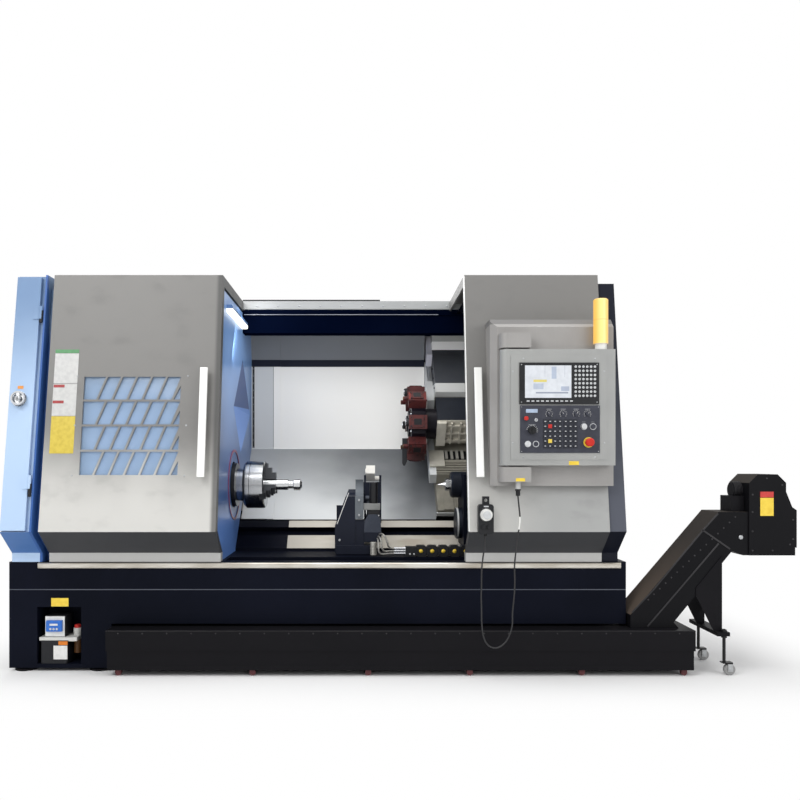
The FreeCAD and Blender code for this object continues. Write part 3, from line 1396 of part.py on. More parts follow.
def make_tailstock():
    left = S.base_left + S.tail_from
    axis = (S.spindle_y, S.spindle_z)
    barrel = rod("x", S.barrel_radius, (left, left + S.tail_long), axis)
    barrel = bevel(barrel, size(8), lambda e: e.Closed)
    shoulder = [
        (S.spindle_y + 82, S.spindle_z - 60),
        (S.spindle_y + 82, S.spindle_z),
        (S.spindle_y - 82, S.spindle_z),
        (S.spindle_y - 82, S.spindle_z - 80),
        (S.steady_front, S.spindle_z - 210),
    ]
    block_x = (left + 85, left + 425)
    stock = prism("YZ", foot_line(None, shoulder), block_x)
    bore = rod("x", S.quill_radius + 0.1, (left - 1, left + S.tail_long - 55), axis)
    node("tailstock", cut(fuse(barrel, stock), bore))
    out = left - S.quill_out
    bar = rod("x", S.quill_radius, (out, left + S.tail_long - 55.5), axis)
    tip = cone("x", (1.0, S.quill_radius * 0.44), (out - S.centre_long, out + 1), axis)
    node("quill", fuse(bar, tip))


# ---------------------------------------------------------------- tank, lubrication and conveyor


def make_tank():
    left = tank_left
    right = tank_right
    front = S.base_front - S.tank_out
    back = front + S.tank_deep
    lower = block((left, right), (front, back), (S.tank_low, S.tank_split + 1))
    rim_x = (left - S.tank_rim, right + S.tank_rim)
    rim_y = (front - S.tank_rim, back + S.tank_rim)
    upper = block(rim_x, rim_y, (S.tank_split, S.tank_top))
    pieces = [lower, upper]
    for along_tank in (0.017, 0.247, 0.445, 0.619, 0.811, 0.986):
        x = left + (right - left) * along_tank
        for y in (front + 30, back - 30):
            pieces.append(block((x - 14, x + 14), (y - 14, y + 14), (S.tank_wheel + 2, S.tank_low + 1)))
            pieces.append(rod("y", S.tank_wheel, (y - 10, y + 10), (x, S.tank_wheel)))
    buffer_y = (back + S.tank_rim - 1, back + 10)
    for x in (left + 400, right - 700):
        pieces.append(block((x - 40, x + 40), buffer_y, (S.tank_split + 20, S.tank_split + 70)))
    node("coolant_tank", fuse(*pieces))


def make_lubrication():
    left = S.base_left + S.recess_left
    floor = S.recess_low
    front = S.base_front + 4
    flange_low = floor + S.reservoir_tall
    flange_top = flange_low + S.flange_thick
    tank = block((left + 16, left + 156), (front, front + 130), (floor, flange_low + 1))
    tank = rounded(tank, size(10), lambda e: along(e, Z_AXIS))
    flange_x = (left + 10, left + 10 + S.flange_wide + 6)
    flange = block(flange_x, (front, front + 136), (flange_low, flange_top))
    pump_x = (left + 35, left + 35 + S.pump_wide)
    pump = block(pump_x, (front + 12, front + 118), (flange_top - 1, flange_top + S.pump_tall))
    pump = rounded(pump, size(8), lambda e: along(e, Z_AXIS))
    glass_at = (left + 186, front + 70)
    bowl = rod("z", S.filter_radius, (flange_low - 74, flange_low + 1), glass_at)
    bonnet = rod("z", S.filter_radius + 2, (flange_top - 1, flange_top + 38), glass_at)
    gauge = rod("y", size(16), (front - 3, front + 14), (left + 88, flange_top + 62))
    node("lube_unit", fuse(tank, flange, pump, bowl, bonnet, gauge))


def make_conveyor():
    y = (S.conveyor_front, S.conveyor_front + S.conveyor_wide)
    foot_left = lid_right - 313
    lid = S.tank_top
    body_line = [
        (foot_left, lid),
        (foot_left, lid + 70),
        (foot_left + 80, lid + 163),
        (neck_from - 70, S.neck_top),
        (head_from, S.neck_top),
        (head_from, S.head_low),
        (head_from - 28, S.head_low),
        (neck_from, S.neck_low),
        (incline_foot, lid + 31),
        (incline_foot + 26, lid),
    ]
    node("conveyor_body", prism("XZ", body_line, y))
    head_line = [
        (head_from, S.head_low),
        (head_from, S.head_high - S.head_bevel),
        (head_from + S.head_bevel, S.head_high),
        (head_right - 99, S.head_high),
        (head_right - 55, S.head_high - 44),
        (head_right - 55, S.head_high - 90),
        (head_right - 23, S.head_high - 170),
        (head_right, S.head_high - 186),
        (head_right, S.head_low + 41),
        (head_right - 8, S.head_low + 41),
        (head_right - 8, S.head_low),
    ]
    casing = prism("XZ", head_line, (y[0] - 8, y[1] + 8))
    chute = block((head_from + 70, head_right - 70), (y[0] + 6, y[1] - 6), (S.head_low - 1, S.head_high - 100))
    node("conveyor_head", cut(casing, chute))
    motor_z = S.neck_top + 112
    middle = S.conveyor_front + S.conveyor_wide / 2
    motor_at = (middle, motor_z)
    motor = rod("x", S.motor_radius, (head_from - 46, head_from), motor_at)
    motor = bevel(motor, size(4), lambda e: e.Closed)
    cradle_x = (head_from - 72, head_from - 4)
    cradle = block(cradle_x, (middle - 60, middle + 60), (S.neck_top, motor_z - 30))
    node("conveyor_motor", fuse(motor, cradle))


def make_leg():
    right = leg_right
    drop = S.leg_low
    slope_x = neck_from - incline_foot
    slope_z = S.neck_low - S.tank_top - 31
    pieces = []
    for y in ((S.conveyor_front - S.leg_thick, S.conveyor_front),
              (S.conveyor_front + S.conveyor_wide, S.conveyor_front + S.conveyor_wide + S.leg_thick)):
        low_z = S.tank_top + 31 + (right - 135 - incline_foot) * slope_z / slope_x
        high_z = S.tank_top + 31 + (right - incline_foot) * slope_z / slope_x
        line = [
            (right - 135, low_z),
            (right - 135, low_z + 40),
            (right, high_z + 40),
            (right, drop),
            (right - S.leg_wide, drop),
        ]
        pieces.append(prism("XZ", line, y))
    beam_y = (S.conveyor_front - S.leg_thick - 37, S.conveyor_front + S.stance_wide + S.leg_thick)
    beam = block((right - S.leg_wide, right + 24), beam_y, (drop - 12, drop + 8))
    tie = block((right - 6, right), (S.conveyor_front, S.conveyor_front + S.conveyor_wide), (drop + 90, drop + 130))
    holes = []
    stems = [(right + 2, S.conveyor_front - 22), (right + 2, S.conveyor_front + S.stance_wide - 18)]
    for at in stems:
        holes.append(rod("z", S.stem_radius + 0.1, (drop - 13, drop + 9), at))
    node("conveyor_leg", cut(fuse(beam, tie, *pieces), *holes))
    for number, (x, y) in enumerate(stems, start=1):
        axle_x = x + S.castor_trail
        axle_z = S.castor_radius
        half = S.castor_wide / 2
        stem = rod("z", S.stem_radius, (axle_z + 38, drop + 22), (x, y))
        collar = rod("z", S.stem_radius + 6, (drop - 22, drop - 12.3), (x, y))
        nut = rod("z", S.stem_radius + 6, (drop + 8.3, drop + 18), (x, y))
        crown = block((x - 14, axle_x + 12), (y - half - 7, y + half + 7), (axle_z + 33, axle_z + 39))
        cheek_one = block((axle_x - 12, axle_x + 12), (y - half - 7, y - half - 2), (axle_z - 9, axle_z + 34))
        cheek_two = block((axle_x - 12, axle_x + 12), (y + half + 2, y + half + 7), (axle_z - 9, axle_z + 34))
        pin = rod("y", S.castor_pin, (y - half - 9, y + half + 9), (axle_x, axle_z))
        node("caster_fork_%d" % number, fuse(stem, collar, nut, crown, cheek_one, cheek_two, pin))
        tyre = rod("y", S.castor_radius, (y - half, y + half), (axle_x, axle_z))
        tyre = bevel(tyre, size(3), lambda e: e.Closed)
        hub = rod("y", S.castor_pin + 6, (y - half - 1.7, y + half + 1.7), (axle_x, axle_z))
        eye = rod("y", S.castor_pin + 0.1, (y - half - 3, y + half + 3), (axle_x, axle_z))
        node("caster_wheel_%d" % number, cut(fuse(tyre, hub), eye))


def make_chain():
    start = S.base_left + S.base_long * 0.647
    left = start + S.chain_block
    y = (S.chain_front, S.chain_front + S.chain_deep)
    top = S.base_top + S.chain_tall
    pieces = [block((start, left), y, (S.base_top, top - 8))]
    for i in range(int(S.chain_links.value)):
        begin = left + S.chain_pitch * i
        link = block((begin, begin + S.chain_pitch - 5), y, (S.base_top, top))
        pieces.append(bevel(link, S.chain_corner, lambda e: along(e, Y_AXIS)))
        inner_z = (S.base_top + S.chain_corner + 1, top - S.chain_corner - 1)
        pieces.append(block((begin - 6, begin + 1), (y[0] + 5, y[1] - 5), inner_z))
    node("drag_chain", fuse(*pieces))


make_base()
make_feet()
make_bed()
make_covers()
make_rear_cover()
make_beam()
fixed_out, fixed_back = make_guards()
make_headstock_wall(fixed_out, fixed_back)
make_work_light()
make_cabinet()
make_left_door()
hinge_x, hinge_y, gland_x, gland_low, peg_x, peg_z = make_right_door()
make_control_box(hinge_x, hinge_y)
make_pendant((gland_x, hinge_y, gland_low), peg_x, peg_z)
make_headstock()
make_chuck(S.base_left + S.wall_from - 18)
make_carriage()
turret_left = make_cross_slide()
make_turret(turret_left)
make_steady()
make_tailstock()
make_tank()
make_lubrication()
make_conveyor()
make_leg()
make_chain()

document.recompute()
for thing in document.Objects:
    for word in ("Invalid", "Error"):
        if word in thing.State:
            raise RuntimeError("%s (%s) did not build" % (thing.Label, thing.Name))

os.makedirs("parts", exist_ok=True)
for thing in NODES:
    shape = thing.Shape
    if shape.isNull() or not shape.isValid():
        raise RuntimeError(thing.Label + " is not a valid shape")
    shape.exportStep("parts/%s.step" % thing.Label)
print("exported %d sub-parts" % len(NODES))
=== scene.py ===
"""Looks of the slant-bed turning lathe: finishes for its frame, and the small pieces on it.

Metres. X runs right along the spindle, Y to the back, Z up, from the floor under the machine's middle.
"""

import math

import bmesh
import bpy
from mathutils import Matrix, Vector


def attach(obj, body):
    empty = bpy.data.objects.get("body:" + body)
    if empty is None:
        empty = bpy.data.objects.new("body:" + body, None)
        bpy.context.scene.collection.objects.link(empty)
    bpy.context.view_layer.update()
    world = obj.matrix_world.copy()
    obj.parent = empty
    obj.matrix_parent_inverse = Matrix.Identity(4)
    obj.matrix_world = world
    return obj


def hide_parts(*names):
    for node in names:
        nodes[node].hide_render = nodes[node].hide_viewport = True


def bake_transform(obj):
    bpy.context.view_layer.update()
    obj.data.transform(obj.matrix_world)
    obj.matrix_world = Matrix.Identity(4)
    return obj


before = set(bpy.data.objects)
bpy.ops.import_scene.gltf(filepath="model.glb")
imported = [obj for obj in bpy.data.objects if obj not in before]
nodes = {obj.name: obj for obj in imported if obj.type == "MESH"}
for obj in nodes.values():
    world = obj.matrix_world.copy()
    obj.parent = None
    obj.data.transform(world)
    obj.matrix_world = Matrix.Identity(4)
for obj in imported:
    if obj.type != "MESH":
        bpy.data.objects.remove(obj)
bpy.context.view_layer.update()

# ---------------------------------------------------------------- main lines of the machine

SPINDLE_Y, SPINDLE_Z = -0.240, 0.968
NOSE = Vector((0, -0.835, 0.745))
LEAN_BACK, LEAN_UP = 0.210, 1.355
LEAN = math.atan2(LEAN_BACK, LEAN_UP)
FRONT = Matrix.Translation(NOSE) @ Matrix.Rotation(-LEAN, 4, "X")
SLOPE = Matrix.Translation((0, SPINDLE_Y, SPINDLE_Z)) @ Matrix.Rotation(math.radians(45), 4, "X")
OUT = (FRONT.to_3x3() @ Vector((0, -1, 0))).normalized()
SLOPE_OUT = (SLOPE.to_3x3() @ Vector((0, 0, 1))).normalized()
FORWARD = (0, -1, 0)
BACKWARD = (0, 1, 0)
LEFTWARD = (-1, 0, 0)

WHITE_LIGHT = (1, 1, 1, 1)
NO_LIGHT = (0, 0, 0, 1)


def tone(red, green, blue):
    """A colour as it looks on screen, 0 to 255, for a shader."""
    line = []
    for part in (red, green, blue):
        part = part / 255
        line.append(part / 12.92 if part <= 0.04045 else ((part + 0.055) / 1.055) ** 2.4)
    return (*line, 1.0)


class Plug:
    """An output of a node, or the start of a tree, with the sums that patterns need."""

    def __init__(self, tree, output=None):
        self.tree = tree
        self.output = output

    def node(self, kind, settings=(), sockets=(), output=0):
        """A new node of a kind in this tree: its settings, then its sockets by name or number."""
        made = self.tree.nodes.new(kind)
        for name, value in dict(settings).items():
            setattr(made, name, value)
        for name, value in dict(sockets).items():
            if isinstance(value, Plug):
                self.tree.links.new(value.output, made.inputs[name])
            else:
                made.inputs[name].default_value = value
        return Plug(self.tree, made.outputs[output] if made.outputs else None)

    def every(self):
        """All the outputs of the same node."""
        return [Plug(self.tree, output) for output in self.output.node.outputs]

    def sum(self, operation, first, second=0.0):
        return self.node("ShaderNodeMath", {"operation": operation}, {0: first, 1: second})

    def __add__(self, other):
        return self.sum("ADD", self, other)

    def __sub__(self, other):
        return self.sum("SUBTRACT", self, other)

    def __rsub__(self, other):
        return self.sum("SUBTRACT", other, self)

    def __mul__(self, other):
        return self.sum("MULTIPLY", self, other)

    def __pow__(self, other):
        return self.sum("POWER", self, other)

    def __gt__(self, other):
        return self.sum("GREATER_THAN", self, other)

    def __lt__(self, other):
        return self.sum("LESS_THAN", self, other)

    def __abs__(self):
        return self.sum("ABSOLUTE", self)

    __radd__ = __add__
    __rmul__ = __mul__


# ---------------------------------------------------------------- patterns


def spot(start):
    """Object coordinates."""
    return start.node("ShaderNodeTexCoord", output="Object")


def axes(start):
    """X, Y and Z of a point on the piece, in metres."""
    return start.node("ShaderNodeSeparateXYZ", (), {"Vector": spot(start)}).every()


def cloud(start, size, stretch=(1, 1, 1), detail=2.0, turn=(0, 0, 0)):
    """Soft noise, 0 to 1, with patches of a size; stretch draws them out along an axis."""
    scale = [1 / (size * s) for s in stretch]
    where = start.node("ShaderNodeMapping", (), {"Vector": spot(start), "Scale": scale, "Rotation": turn})
    return start.node("ShaderNodeTexNoise", (), {"Vector": where, "Scale": 1.0, "Detail": detail})


def ease(value, low, high):
    """0 below low, 1 above high, smooth between."""
    return value.node(
        "ShaderNodeMapRange",
        {"interpolation_type": "SMOOTHSTEP"},
        {"Value": value, "From Min": low, "From Max": high},
    )


def within(value, low, high, soft=0.0008):
    """1 between two places, 0 outside."""
    return ease(value, low - soft, low + soft) * (1 - ease(value, high - soft, high + soft))


def tint(factor, first, second):
    """One colour into another."""
    return factor.node("ShaderNodeMix", {"data_type": "RGBA"}, {0: factor, 6: first, 7: second}, output=2)


def bands(value, first, *steps, soft=0.0006):
    """Colours by place: the first one, then each of the steps from its own limit on."""
    made = first
    for limit, colour in steps:
        made = tint(ease(value, limit - soft, limit + soft), made, colour)
    return made


def relief(height, strength, distance):
    """A surface's normal from a height pattern."""
    return height.node("ShaderNodeBump", (), {"Strength": strength, "Distance": distance, "Height": height})


def peel(start, strength=0.12):
    """The orange-peel skin of a sprayed coat."""
    return relief(cloud(start, 0.0016, detail=1.0), strength, 0.0004)


def turning_marks(start, lines=900):
    """Fine noise in rings round the spindle on faces, and in hoops along it on rims; lines to the metre."""
    x, y, z = axes(start)
    away = ((y - SPINDLE_Y) ** 2 + (z - SPINDLE_Z) ** 2) ** 0.5
    where = start.node("ShaderNodeCombineXYZ", (), {0: x * lines, 1: away * lines})
    return start.node("ShaderNodeTexNoise", (), {"Vector": where, "Scale": 1.0, "Detail": 1.0})


def in_front(y):
    """1 on the machine's front, 0 on what stands farther back."""
    return 1 - ease(y, -0.62, -0.60)


def shade_under_nose(y, z):
    """1 on the strip of the front that folds back under the nose, where the finishes paint its shade."""
    return within(z, 0.6225, 0.7445, 0.0015) * in_front(y)


class Finish:
    """A material: plain shader values by name, then patterns wired to it."""

    def __init__(self, name, slot, **plain):
        self.material = bpy.data.materials.new(name)
        self.material.use_nodes = True
        self.slot = slot
        self.shader = self.material.node_tree.nodes["Principled BSDF"]
        self.start = Plug(self.material.node_tree)
        for key, value in plain.items():
            self.socket(key).default_value = value

    def socket(self, key):
        """A socket of the shader, by its name in small letters."""
        return self.shader.inputs[key.replace("_", " ").title().replace("Ior", "IOR")]

    def wire(self, **patterns):
        for key, plug in patterns.items():
            self.start.tree.links.new(plug.output, self.socket(key))


# ---------------------------------------------------------------- common finishes


def paint(name, slot, colour, shade, rough=0.48, shine=0.08):
    """Powder coat: orange peel, a slow drift between two tones, and faint handling marks."""
    made = Finish(name, slot, roughness=rough, specular_ior_level=shine)
    slow = cloud(made.start, 0.5, detail=3.0)
    marks = ease(cloud(made.start, 0.06, (1, 1, 3), 4.0), 0.56, 0.74)
    made.wire(
        base_color=tint(ease(slow, 0.32, 0.68) * 0.8 + marks * 0.2, colour, shade),
        roughness=rough + (slow - 0.5) * 0.16 + marks * 0.05,
        normal=peel(made.start),
    )
    return made


def drawn(name, slot, colour, shade, rough=0.34, along=(40, 1, 1), metal=1.0):
    """Metal with fine grinding lines along one axis and a slow change of tone."""
    made = Finish(name, slot, metallic=metal, roughness=rough)
    lines = cloud(made.start, 0.0012, along, 2.0)
    slow = cloud(made.start, 0.3, (1, 1, 1), 3.0)
    made.wire(
        base_color=tint(ease(slow, 0.3, 0.7) * 0.65 + lines * 0.35, colour, shade),
        roughness=rough + (lines - 0.5) * 0.22 + (slow - 0.5) * 0.12,
        normal=relief(lines, 0.06, 0.0003),
    )
    return made


def lathe_cut(name, slot, colour, shade, rough=0.22):
    """Turned steel."""
    made = Finish(name, slot, metallic=1.0, roughness=rough)
    rings = turning_marks(made.start)
    slow = cloud(made.start, 0.05, detail=2.0)
    made.wire(
        base_color=tint(rings * 0.5 + slow * 0.5, colour, shade),
        roughness=rough + (rings - 0.5) * 0.16,
        normal=relief(rings, 0.08, 0.0003),
    )
    return made


def cast(name, slot, colour, shade, rough=0.5, metal=0.1, pitch=0.003, depth=0.2):
    """Painted or bare casting with a sandy skin."""
    made = Finish(name, slot, metallic=metal, roughness=rough, specular_ior_level=0.25)
    skin = cloud(made.start, pitch, detail=4.0)
    slow = cloud(made.start, 0.12, detail=3.0)
    made.wire(
        base_color=tint(ease(slow, 0.3, 0.7), colour, shade),
        roughness=rough + (skin - 0.5) * 0.15,
        normal=relief(skin, depth, 0.0008),
    )
    return made


def moulded(name, slot, colour, rough=0.45, shade=None, grain=0.0009):
    """Moulded plastic with a fine spark-eroded grain."""
    made = Finish(name, slot, roughness=rough, specular_ior_level=0.3)
    skin = cloud(made.start, grain, detail=1.0)
    slow = cloud(made.start, 0.03, detail=2.0)
    darker = shade or tuple(part * 0.82 for part in colour[:3]) + (1.0,)
    made.wire(
        base_color=tint(ease(slow, 0.25, 0.75), colour, darker),
        roughness=rough + (slow - 0.5) * 0.1,
        normal=relief(skin, 0.1, 0.0002),
    )
    return made


def label(name, colour, shade):
    """Plain foil: an even tone with a faint mottle and a slightly raised skin."""
    made = Finish(name, "light_plate", roughness=0.38)
    slow = cloud(made.start, 0.02, detail=3.0)
    made.wire(
        base_color=tint(ease(slow, 0.3, 0.75), colour, shade),
        normal=relief(slow, 0.05, 0.0002),
    )
    return made


# ---------------------------------------------------------------- finishes of the machine


def door_steel():
    """Satin steel of the doors, drawn upwards: darker up high and paler low down as a painted reflection of the
    pale floor, with painted shade on the bent edge and under the nose.
    """
    made = Finish("door_satin_steel", "grey_paint", metallic=0.2, roughness=0.5, specular_ior_level=0.25)
    start = made.start
    x, y, z = axes(start)
    drift = cloud(start, 0.35, (1, 1, 1.6), 3.0)
    lines = cloud(start, 0.0022, (1, 1, 60), 2.0)
    smear = ease(cloud(start, 0.11, (1.4, 1, 0.8), 5.0), 0.52, 0.72)
    # Painted reflection of the pale floor: lighter low down, darker up high; the lower tone dims to the right
    # from x 0.3 to 0.8.
    rise = ease(z + (drift - 0.5) * 0.3, 0.82, 1.32)
    low = tint(ease(x + (drift - 0.5) * 0.3, 0.3, 0.8), tone(200, 199, 195), tone(162, 163, 162))
    body = tint(rise, low, tone(122, 121, 119))
    body = tint(smear * 0.12, body, tone(100, 100, 100))
    # Painted shade on the bent return at the left door's right edge.
    bend_shade = ease(x, -0.982, -0.958) * (1 - ease(x, -0.9, -0.8))
    body = tint(bend_shade * 0.8, body, tone(76, 76, 76))
    # Painted shade on the strip that folds back under the nose.
    body = tint(shade_under_nose(y, z), body, tone(68, 69, 72))
    body = tint(within(z, 0.55, 0.6218, 0.001) * in_front(y), body, tone(182, 182, 180))
    made.wire(
        base_color=body,
        roughness=0.48 + (lines - 0.5) * 0.16 + smear * 0.06,
        normal=relief(lines * 0.6 + drift * 0.4, 0.06, 0.0004),
    )
    return made


def sky_paint():
    """The blue of the left end: greyer up high, with painted shade below the nose and on the strip by the
    hinges.
    """
    made = Finish(
        "sky_blue_paint", "blue_paint",
        roughness=0.42, specular_ior_level=0.2, coat_weight=0.08, coat_roughness=0.3,
    )
    start = made.start
    x, y, z = axes(start)
    drift = cloud(start, 0.45, detail=3.0)
    rise = ease(z + (drift - 0.5) * 0.3, 1.3, 2.05)
    body = tint(rise, tone(178, 202, 231), tone(110, 138, 174))
    # Painted shade on the strip under the nose.
    body = tint(shade_under_nose(y, z), body, tone(74, 114, 172))
    # Painted shade on the strip by the hinges, in the gap beside the cabinet face.
    body = tint(within(x, -1.8935, -1.850, 0.0004) * in_front(y), body, tone(56, 94, 158))
    made.wire(
        base_color=body,
        roughness=0.42 + (drift - 0.5) * 0.14,
        normal=peel(start),
    )
    return made


def wall_paint():
    """The blue of the headstock wall: its sunk diamond with painted shade on its upper half and a lighter, lit
    lower half, and red on the ring round the spindle.
    """
    made = Finish(
        "room_blue_paint", "blue_paint",
        roughness=0.34, specular_ior_level=0.3, coat_weight=0.2, coat_roughness=0.2,
    )
    start = made.start
    x, _, z = axes(start)
    drift = cloud(start, 0.3, detail=3.0)
    body = tint(ease(z + (drift - 0.5) * 0.3, 1.0, 1.8), tone(72, 102, 154), tone(124, 162, 216))
    body = tint(1 - ease(z, 0.76, 0.86), body, tone(98, 138, 208))
    # Sunk diamond: painted shade on its upper half, lit lighter tone on its lower half.
    diamond = tint(ease(z, 1.446, 1.450), tone(98, 138, 206), tone(45, 74, 128))
    body = tint(1 - ease(x, -0.9512, -0.9505), body, diamond)
    made.wire(
        base_color=tint(ease(x, -0.9492, -0.9488), body, tone(128, 62, 88)),
        roughness=0.34 + (drift - 0.5) * 0.12,
        normal=peel(start, 0.1),
    )
    return made


def bed_finish():
    """Dark casting, with bare steel on its upper rail and on a narrow strip of its face, right of the chuck."""
    made = Finish("bed_casting_and_ways", "dark_casting", roughness=0.5, specular_ior_level=0.1)
    start = made.start
    x, y, z = axes(start)
    slant = 0.70711
    out = ((z - SPINDLE_Z) - (y - SPINDLE_Y)) * slant
    up = ((z - SPINDLE_Z) + (y - SPINDLE_Y)) * slant
    ways = (out > -0.3006) * (out < -0.2990) * (up < 0.0) * (x > -0.646)
    rails = (out > -0.3700) * (up > 0.09)
    bare = ease(ways + rails, 0.0, 1.0)
    lines = cloud(start, 0.0015, (60, 1, 1), 2.0)
    rust = ease(cloud(start, 0.09, (3, 1, 1), 4.0), 0.5, 0.75)
    steel = tint(rust * 0.5, tone(182, 177, 167), tone(144, 131, 115))
    dark = tint(cloud(start, 0.2, detail=3.0), tone(5, 8, 18), tone(11, 14, 27))
    made.wire(
        base_color=tint(bare, dark, steel),
        metallic=bare * 0.28,
        roughness=0.52 - bare * 0.08 + (lines - 0.5) * 0.1,
        normal=relief(lines, 0.06, 0.0004),
    )
    return made


def guard_steel(name, panel_reflection_light, panel_reflection_dark):
    """A guard: plain sheet on the slope, upright panel painted near white as a painted reflection, with a
    lapped end and a painted shadow at its edge, dark fold and grey lip on top.
    """
    made = Finish(name, "bare_steel", metallic=0.4, roughness=0.42, specular_ior_level=0.3)
    start = made.start
    x, _, z = axes(start)
    drift = cloud(start, 0.28, (1.3, 1, 1), 3.0)
    lines = cloud(start, 0.0018, (1, 1, 50), 2.0)
    slope = tint(
        ease(x + (drift - 0.5) * 0.7 + (z - 0.9) * 0.8, -0.75, 0.35),
        tone(188, 190, 190),
        tone(116, 119, 122),
    )
    # Upright panel: near white, a painted reflection on the steel sheet.
    panel = tint(drift * 0.6, panel_reflection_light, panel_reflection_dark)
    # Right of the lap: the same near-white painted reflection.
    panel = tint(ease(x, -0.8020, -0.8014), panel, tone(241, 240, 236))
    # Thin dark line: painted shadow of the lapped sheet's edge.
    panel = tint(within(x, -0.8045, -0.8015, 0.0003), panel, tone(96, 98, 100))
    upper = ease(z, 1.187, 1.189)
    made.wire(
        base_color=bands(z, slope, (1.188, panel), (1.744, tone(8, 14, 34)), (1.7915, tone(112, 115, 119))),
        metallic=0.42 - upper * 0.4,
        roughness=0.38 + (drift - 0.5) * 0.14 + upper * 0.12,
        normal=relief(lines, 0.04, 0.0004),
    )
    return made


def slide_finish():
    """Cross slide: bands of casting and cover sheet by height, and a pale flank."""
    made = Finish("cross_slide_covers", "casting", metallic=0.1, roughness=0.5, specular_ior_level=0.3)
    start = made.start
    x, _, z = axes(start)
    drift = cloud(start, 0.12, detail=3.0)
    body = bands(
        z,
        tint(drift, tone(168, 164, 152), tone(142, 139, 128)),
        (1.413, tint(drift, tone(150, 149, 142), tone(118, 118, 114))),
        (1.5155, tone(204, 205, 203)),
        (1.602, tint(drift, tone(76, 78, 82), tone(60, 63, 70))),
        (1.8485, tone(252, 251, 248)),
        (1.9045, tint(drift, tone(188, 189, 185), tone(164, 165, 162))),
    )
    made.wire(
        base_color=tint(1 - ease(x, 0.2622, 0.2636), body, tone(212, 214, 214)),
        metallic=0.08 + drift * 0.08,
        roughness=0.5 + (drift - 0.5) * 0.2,
        normal=relief(cloud(start, 0.003, detail=3.0), 0.1, 0.0005),
    )
    return made


def turret_finish():
    """Turret slide: pale casting below, dark cover sheet above."""
    made = Finish("turret_slide_skin", "dark_casting", roughness=0.5, specular_ior_level=0.2)
    start = made.start
    z = axes(start)[2]
    drift = cloud(start, 0.1, detail=4.0)
    stain = ease(cloud(start, 0.04, (2, 1, 1), 4.0), 0.5, 0.72)
    beige = tint(drift, tone(196, 191, 178), tone(166, 162, 150))
    beige = tint(stain * 0.35, beige, tone(104, 98, 88))
    cover = tint(drift, tone(36, 40, 48), tone(24, 27, 34))
    made.wire(
        base_color=bands(z, beige, (1.358, cover)),
        roughness=0.52 + (drift - 0.5) * 0.16,
        normal=relief(cloud(start, 0.003, detail=3.0), 0.16, 0.0006),
    )
    return made


def steady_finish():
    """Steady base: dark casting with one machined grey face."""
    made = Finish("steady_casting", "dark_casting", roughness=0.46, specular_ior_level=0.2)
    start = made.start
    x, _, z = axes(start)
    skin = cloud(start, 0.003, detail=4.0)
    slow = cloud(start, 0.12, detail=3.0)
    dark = tint(slow, tone(22, 27, 42), tone(14, 18, 30))
    face = within(x, -0.240, -0.193, 0.0006) * ease(z, 0.777, 0.779)
    made.wire(
        base_color=tint(face, dark, tone(98, 103, 108)),
        roughness=0.44 + (skin - 0.5) * 0.15,
        normal=relief(skin, 0.2, 0.0006),
    )
    return made


def chuck_finish():
    """Turned chuck steel with two grooves painted dark as their shade, and a blackened flange."""
    made = Finish("chuck_steel", "bright_steel", metallic=1.0, roughness=0.24)
    start = made.start
    x = axes(start)[0]
    rings = turning_marks(start)
    black = 1 - ease(x, -0.9285, -0.9275)
    # Painted shade in two narrow grooves.
    grooves = within(x, -0.846, -0.843, 0.0004) + within(x, -0.868, -0.866, 0.0004)
    steel = tint(rings, tone(184, 186, 188), tone(148, 150, 154))
    steel = tint(grooves, steel, tone(40, 42, 46))
    made.wire(
        base_color=tint(black, steel, tone(20, 21, 24)),
        metallic=1 - black * 0.7,
        roughness=0.22 + black * 0.22 + (rings - 0.5) * 0.1,
        normal=relief(rings - grooves, 0.1, 0.0004),
    )
    return made


def holder_finish():
    """Tool holders in oxide-red primer, worn dark in patches."""
    made = Finish("holder_primer", "casting", roughness=0.5, specular_ior_level=0.3)
    start = made.start
    drift = cloud(start, 0.05, detail=4.0)
    wear = ease(cloud(start, 0.02, detail=3.0), 0.5, 0.7)
    primer = tint(drift, tone(86, 38, 35), tone(53, 27, 29))
    made.wire(
        base_color=tint(wear * 0.7, primer, tone(32, 24, 27)),
        roughness=0.44 + wear * 0.2,
        normal=relief(drift, 0.25, 0.0008),
    )
    return made


def rail_finish():
    """Rail along the base: warm polished steel with slow brown streaks."""
    made = Finish("sill_rail_steel", "cream_steel", metallic=0.6, roughness=0.34)
    start = made.start
    streak = cloud(start, 0.05, (5, 1, 1), 4.0)
    lines = cloud(start, 0.0012, (80, 1, 1), 1.0)
    made.wire(
        base_color=tint(ease(streak, 0.35, 0.7), tone(216, 212, 203), tone(180, 173, 160)),
        roughness=0.32 + (lines - 0.5) * 0.2,
        normal=relief(lines, 0.05, 0.0003),
    )
    return made


def top_rail_finish():
    """Rail above the doors: plain sheet with a black rubber cap along its top."""
    made = Finish("top_rail_sheet", "bare_steel", metallic=0.5, roughness=0.4)
    start = made.start
    z = axes(start)[2]
    lines = cloud(start, 0.0012, (80, 1, 1), 1.0)
    slow = cloud(start, 0.3, detail=3.0)
    rubber_cap = ease(z, 2.107, 2.108)
    sheet = tint(slow, tone(178, 180, 180), tone(150, 152, 153))
    made.wire(
        base_color=tint(rubber_cap, sheet, tone(24, 24, 27)),
        metallic=0.5 - rubber_cap * 0.5,
        roughness=0.38 + (lines - 0.5) * 0.2 + rubber_cap * 0.2,
        normal=relief(lines, 0.05, 0.0003),
    )
    return made


